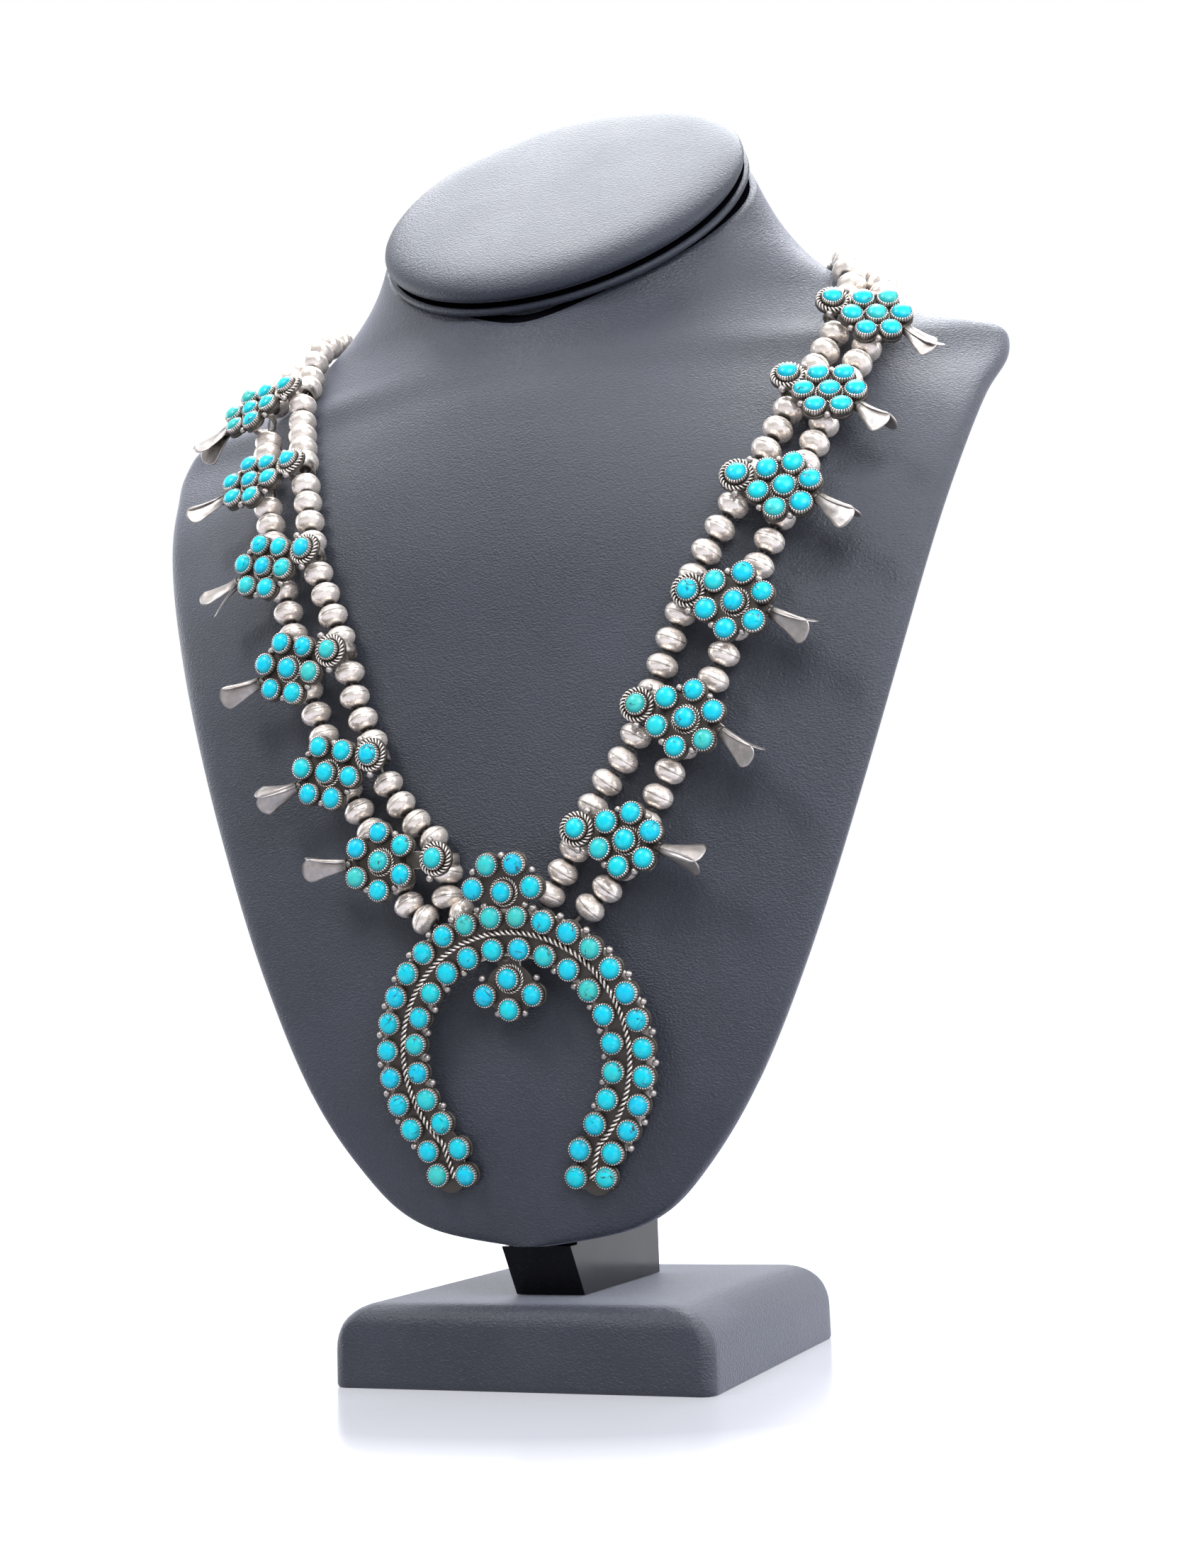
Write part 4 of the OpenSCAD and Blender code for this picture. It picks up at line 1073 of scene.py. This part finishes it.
# bezels and stones share their sizes and their slight leaning
def setStones(name, places, seed):
    rng = np.random.default_rng(seed)
    n = len(places)
    at = np.array([[x, y, smallSet["plate"]] for x, y in places])
    turns = np.stack([rng.normal(0, 0.03, n), rng.normal(0, 0.03, n), rng.uniform(0, 6.28, n)], 1)
    f = rng.uniform(0.965, 1.02, n)
    oval = rng.uniform(0.97, 1.0, n)
    sizes = np.stack([f, f * oval, rng.uniform(0.95, 1.0, n)], 1)
    # one stone in five is green
    tones = np.where(rng.uniform(size=n) < 0.2, rng.uniform(0.6, 0.95, n), rng.normal(0.33, 0.15, n))
    bezels = scatter(name + "Bezels", bezelPart, at, turns, workSilver, sizes)
    stones = scatter(name + "Stones", stonePart, at, turns, turquoise, sizes, np.clip(tones, 0, 1))
    return bezels, stones


def setSmall(name, part, places, material, seed):
    rng = np.random.default_rng(seed)
    n = len(places)
    at = np.array([[x, y, smallSet["plate"]] for x, y in places])
    turns = np.stack([np.zeros(n), np.zeros(n), rng.uniform(0, 6.28, n)], 1)
    sizes = rng.uniform(0.9, 1.04, (n, 1)) * np.ones(3) if part is ballPart else None
    return scatter(name, part, at, turns, material, sizes)


def blossomPlace(side, i):
    row = blossomSet[side][i]
    a, b = strands[:2] if side == "left" else strands[2:]
    si, so = heightPlace(a, row[0]), heightPlace(b, row[1])
    pa, pb = along(a, si), along(b, so)
    ha, hb = heading(a, si), heading(b, so)
    x = unit(pb - pa)
    z = unit(np.cross(x, ha + hb))
    z = -z if z[1] > 0 else z
    y = np.cross(z, x)
    reach = np.linalg.norm(pb - pa)
    place = Matrix.Translation(Vector(pb + blossomSet["plateLift"] * z)) \
        @ Matrix((x, y, z)).transposed().to_4x4() @ Matrix.Translation((-reach / 2, 0, 0)) \
        @ Matrix.Rotation(math.radians(-row[3]), 4, "Y") @ Matrix.Translation((reach / 2, 0, 0))
    return place, reach, -math.atan2(ha @ x, ha @ y), -math.atan2(hb @ x, hb @ y)


# a piece that was made lying flat goes to its place, which is in millimetres
def settle(obj, place):
    turn = place.copy()
    turn.translation *= mm
    obj.data.transform(turn)


def makeBlossom(side, i):
    c, row = blossomSet, blossomSet[side][i]
    ring, roped = row[4], row[5]
    place, reach, innerTurn, outerTurn = blossomPlace(side, i)
    seed = smallSet["seed"] + 40 * i + (400 if side == "left" else 0)
    rng = np.random.default_rng(seed)
    name = "blossom-%s-%d" % (side, i + 1)
    around = aroundRing(ring)
    shapes = [disc((0, 0), c["plate"], -0.01)]
    shapes += [disc(p, c["pad"], 0.005 * q - 0.03) for q, p in enumerate(around)]
    start, end, half = c["bridge"]
    shapes += [disc((-roped, 0), c["ropedPad"]), slab(-roped + start, -half, end, half)]
    for x, turn in ((0, outerTurn), (-reach, innerTurn)):
        shapes.append(moved(sleeveShape(c["sleeve"]),
                            Matrix.Translation((x, 0, 0)) @ Matrix.Rotation(turn, 4, "Z")))
    up = -1 if side == "left" else 1
    tip = Matrix.Translation((ring + c["tipOut"], 0, 0)) @ Matrix.Rotation(-up * math.radians(row[2]), 4, "Z") \
        @ Matrix.Translation((-c["tipRoot"], 0, 0))
    start, end, half = c["tongue"]
    shapes.append(moved(slab(start, -half, end, half), tip))
    parts = [gather(name, shapes, workSilver)]
    petals = [petalShape(rng, facing, up, c["tipReach"]) for facing in row[6:8]]
    parts.append(gather("petals", [moved(s, tip) for s in petals + [stemShape()]], petalSilver))
    bezels, stones = setStones(name, [[0, 0]] + around + [[-roped, 0]], seed)
    balls = [[c["ballRing"] * math.cos(a), c["ballRing"] * math.sin(a)] for a in np.radians(c["ballAngles"])]
    aside, apart = c["ropedBalls"]
    balls += [[-roped + aside, apart], [-roped + aside, -apart]]
    parts += [bezels, setSmall("balls", ballPart, balls, petalSilver, seed),
              setSmall("wide", wideRing, [[-roped, 0]], workSilver, seed),
              setSmall("thin", thinRing, [[0, 0]], workSilver, seed)]
    silver = joined(name + "-silver", parts)
    stones.name = "stones-%s-%d-set" % (side, i + 1)
    for obj, slotName, cad in ((silver, "silver", "blossom_%s_%d"), (stones, "turquoise", "stones_%s_%d")):
        settle(obj, place)
        ride(obj, slotName, cad % (side, i + 1))


for side in ("left", "right"):
    for i in range(6):
        makeBlossom(side, i)
print("stage: blossoms")


# naja
najaSet = {"rope": 30.3, "outer": 34.2, "inner": 26.4, "outerCount": 24, "innerCount": 18, "outerStep": 11.65,
           "innerStep": 15.2, "sweep": 268, "at": (0.6, -45.5, 46.5), "tilt": 8.5, "turn": -1.5, "drop": 4.2,
           "tailOuter": [[22.4, 0.6]], "tailInner": [[16.2, 7.3], [14.7, 0.7]],
           "cluster": [[0, 70.6], [-3.6, 77.4], [3.6, 77.4], [-7.9, 71.6], [7.9, 71.6]],
           "dropStones": [[0, 49.2], [-6.4, 45.2], [0, 41.7], [6.4, 45.2]],
           "balls": [[0, 79.5], [-7.9, 75.7], [7.9, 75.7], [-5.4, 67.2], [5.4, 67.2], [-3.6, 40.6], [3.6, 40.6],
                     [-7.3, 49.3], [7.3, 49.3]],
           "bails": [3.4, 6], "bailLength": 2.4, "pad": 3.1, "middlePad": 3.15,
           "section": [[-6, 0.15], [-5.85, 0], [5.85, 0], [6, 0.15], [6, 0.8], [5.8, 0.96], [3, 0.96],
                       [0, 0.96], [-3, 0.96], [-5.8, 0.96], [-6, 0.8]],
           "sectionSoot": [0.1, 0.5, 0.95, 1, 0.95, 0.5, 0.1, 0.4, 0.3, 0.3, 0.4], "sections": 150,
           "wire": 0.43, "wireOff": 0.36, "wirePitch": 2.9, "wireLift": 1.3,
           "ropeEnd": [20.9, 8.4], "ropeSlope": [0.28, 0.95],
           "ballRings": {"outer": [36.8, 9], "inner": [23.8, 16]},
           "tipDiscs": [[20.9, 8, 4.2, -0.05], [19.7, 0, 4.2, -0.055]], "tipSlab": [19.6, 4, -2.5, 9.5, 0.93],
           "backDiscs": [[0, 71, 7, -0.05], [0, 46.5, 6.5, -0.05]], "backSlab": [-3, 50, 3, 56, 0.94],
           "seeds": {"balls": 3, "rings": 4, "outer": 21, "inner": 22, "middle": 23}}


def najaRow(row, tail):
    radius, count, step = najaSet[row], najaSet[row + "Count"], najaSet[row + "Step"]
    a = np.radians(90 + (np.arange(count) - (count - 1) / 2) * step)
    places = np.stack([radius * np.cos(a), najaSet["rope"] + radius * np.sin(a)], 1).tolist()
    return places + [[s * x, y] for s in (-1, 1) for x, y in tail]


# balls between the stones of a row, but for a gap at the top
def najaBalls(row):
    radius, gap = najaSet["ballRings"][row]
    count, step = najaSet[row + "Count"], najaSet[row + "Step"]
    a = 90 + (np.arange(count - 1) - (count - 2) / 2) * step
    a = np.radians(a[abs(a - 90) > gap])
    return np.stack([radius * np.cos(a), najaSet["rope"] + radius * np.sin(a)], 1).tolist()


# the middle line of the rope: down one tip, round the arch and down the other
def najaRopeLine(half):
    s = najaSet
    arc = circle(s["rope"], 420, 0, math.pi / 2 - half, 2 * half) + [0, s["rope"], 0]
    (x, y), (dx, dy) = s["ropeEnd"], s["ropeSlope"]
    right = [[x - dx * j, y - dy * j, 0] for j in range(9, -1, -1)]
    left = [[-x, y, 0] for x, y, _ in right[::-1]]
    line = np.concatenate([right, arc, left]) + [0, 0, s["wireLift"]]
    run = lengthsAlong(line)
    even = np.linspace(0, run[-1], 760)
    return np.stack([np.interp(even, run, line[:, q]) for q in range(3)], 1), run[-1]


def najaPlate(place, half, outer, inner, middle):
    s = najaSet
    section = np.array(s["section"])[::-1]
    rings = [np.array([[(s["rope"] + r) * math.cos(a), s["rope"] + (s["rope"] + r) * math.sin(a), z]
                       for r, z in section])
             for a in np.linspace(math.pi / 2 - half, math.pi / 2 + half, s["sections"])]
    points, faces = skin(rings)
    shapes = [(points, faces, np.tile(s["sectionSoot"], len(rings)))]
    shapes += [disc(p, s["pad"], 0.004 * (i % 5) - 0.02) for i, p in enumerate(outer + inner)]
    shapes += [disc(p, s["middlePad"], 0.01 + 0.004 * (i % 5)) for i, p in enumerate(middle)]
    for q in (-1, 1):
        shapes += [disc((q * x, y), r, lift) for x, y, r, lift in s["tipDiscs"]]
        x, wide, y0, y1, top = s["tipSlab"]
        shapes.append(slab(q * x - wide, y0, q * x + wide, y1, top))
    # the plates of the cluster and of the drop
    shapes += [disc((x, y), r, lift) for x, y, r, lift in s["backDiscs"]] + [slab(*s["backSlab"])]
    back = place.inverted()
    for k in range(4):
        pts, run = strands[k]
        want = s["bails"][k % 2]
        at = run[next(i for i in range(1, len(run)) if abs(pts[i, 0] - s["at"][0]) >= want)]
        p, q = (back @ Vector(along(strands[k], at + d)) for d in (0, 1))
        turn = math.atan2(q.y - p.y, q.x - p.x) - math.pi / 2
        shapes.append(moved(sleeveShape(s["bailLength"]),
                            Matrix.Translation((p.x, p.y, 0)) @ Matrix.Rotation(turn, 4, "Z")))
    return gather("najaPlate", shapes, workSilver)


def makeNaja():
    s = najaSet
    place = Matrix.Translation(s["at"]) @ Matrix.Rotation(math.radians(90 + s["tilt"]), 4, "X") \
        @ Matrix.Rotation(math.radians(s["turn"]), 4, "Z") @ Matrix.Translation((0, s["drop"], 0))
    outer, inner = najaRow("outer", s["tailOuter"]), najaRow("inner", s["tailInner"])
    middle = s["cluster"] + s["dropStones"]
    half = math.radians(s["sweep"] / 2)
    balls = s["balls"] + [p for row in ("outer", "inner") for p in najaBalls(row)]
    line, length = najaRopeLine(half)
    seeds = s["seeds"]
    parts = [najaPlate(place, half, outer, inner, middle),
             setSmall("balls", ballPart, balls, petalSilver, seeds["balls"]),
             setSmall("thin", thinRing, [s["cluster"][0], s["dropStones"][0]], workSilver, seeds["rings"]),
             makeRope("rope", line, s["wire"], s["wireOff"], length / s["wirePitch"], workSilver)]
    sootRope(parts[-1], line, 0.75, 0.4)
    for rowName, places in (("outer", outer), ("inner", inner), ("middle", middle)):
        bezels, stones = setStones("naja" + rowName, places, seeds[rowName])
        parts.append(bezels)
        stones.name = "naja-stones-" + rowName
        settle(stones, place)
        ride(stones, "turquoise", "naja_stones_" + rowName)
    silver = joined("naja-silver", parts)
    settle(silver, place)
    ride(silver, "silver", "naja")


makeNaja()
for part in (bezelPart, stonePart, ballPart, wideRing, thinRing):
    remove(part)
print("stage: naja")


# floor, light and surroundings
floorSet = {"half": 6000, "colour": (0.19, 0.195, 0.24, 1), "roughness": 0.17, "ior": 1.42, "bounce": 0.35,
            "near": 0.42, "far": 1.05, "fadeScale": 5, "fade": [0.56, 0.9]}
worldSet = {"front": (0.12, 0.126, 0.14), "middle": 0.6, "behind": 1,
            "above": [(0.0, 0.05), (0.3, 0.42), (0.8, 0.9)]}
# place, aim, size and power of each light
lightSet = {"key": ((-0.35, -0.6, 0.9), (0, 0, 0.18), 0.3, 4.4),
            "fill": ((0.42, -0.52, 0.5), (0, 0, 0.22), 0.5, 4.2),
            "left": ((-0.9, 0.05, 0.4), (0, 0, 0.15), 0.6, 3),
            "right": ((0.9, 0.05, 0.4), (0, 0, 0.12), 0.6, 5),
            "top": ((-0.1, 0.42, 1.25), (0, 0, 0.2), 1.15, 30)}
lightColour = (0.92, 0.95, 1)


def whenSeen(tree, unseen, seen):
    return mixColour(tree, node(tree, "ShaderNodeLightPath").outputs["Is Camera Ray"], unseen, seen)


def makeFloor():
    c, half = floorSet, floorSet["half"]
    points = [[-half, -half, 0], [half, -half, 0], [half, half, 0], [-half, half, 0]]
    mat, tree, shader = newMaterial("floor")
    # painted light: the floor glows to the camera, more strongly away from the base, so the far floor turns white
    # and the reflection and shade show close to the base alone; to the rest of the scene it glows more weakly, as
    # bounced light
    away = node(tree, "ShaderNodeVectorMath", {0: objectPoint(tree)}, operation="LENGTH").outputs["Value"]
    glow = ramp(tree, maths(tree, "MULTIPLY", away, c["fadeScale"]),
                [(c["fade"][0], grey(c["near"])), (c["fade"][1], grey(c["far"]))])
    feed(tree, shader, {"Base Color": c["colour"], "Roughness": c["roughness"], "IOR": c["ior"],
                        "Emission Color": (1, 1, 1, 1),
                        "Emission Strength": whenSeen(tree, grey(c["bounce"]), glow)})
    floor = makeObject("floor", points, [[0, 1, 2, 3]], mat)


def makeLight(name, place, aim, size, power):
    data = bpy.data.lights.new(name, "AREA")
    data.shape, data.size, data.energy, data.color = "DISK", size, power, lightColour
    obj = link(name, data)
    obj.location = place
    obj.rotation_euler = (Vector(aim) - Vector(place)).to_track_quat("-Z", "Y").to_euler()


def makeWorld():
    world = bpy.data.worlds.new("studio")
    world.use_nodes = True
    tree = world.node_tree
    way = node(tree, "ShaderNodeSeparateXYZ", {0: node(tree, "ShaderNodeTexCoord").outputs["Generated"]})
    depth = node(tree, "ShaderNodeMath", {0: way.outputs["Y"], 1: 0.5, 2: 0.5}, operation="MULTIPLY_ADD")
    room = ramp(tree, depth.outputs[0], [(0.3, worldSet["front"]), (0.5, grey(worldSet["middle"])),
                                         (0.62, grey(worldSet["behind"]))])
    above = ramp(tree, way.outputs["Z"], [(place, grey(v)) for place, v in worldSet["above"]])
    sky = mixColour(tree, 1.0, room, above, "LIGHTEN")
    feed(tree, tree.nodes["Background"], {"Color": whenSeen(tree, sky, grey(1.0))})
    bpy.context.scene.world = world


makeFloor()
makeWorld()
for name, row in lightSet.items():
    makeLight(name, *row)
bpy.context.scene.view_settings.view_transform = "Standard"
print("stage: floor and light")
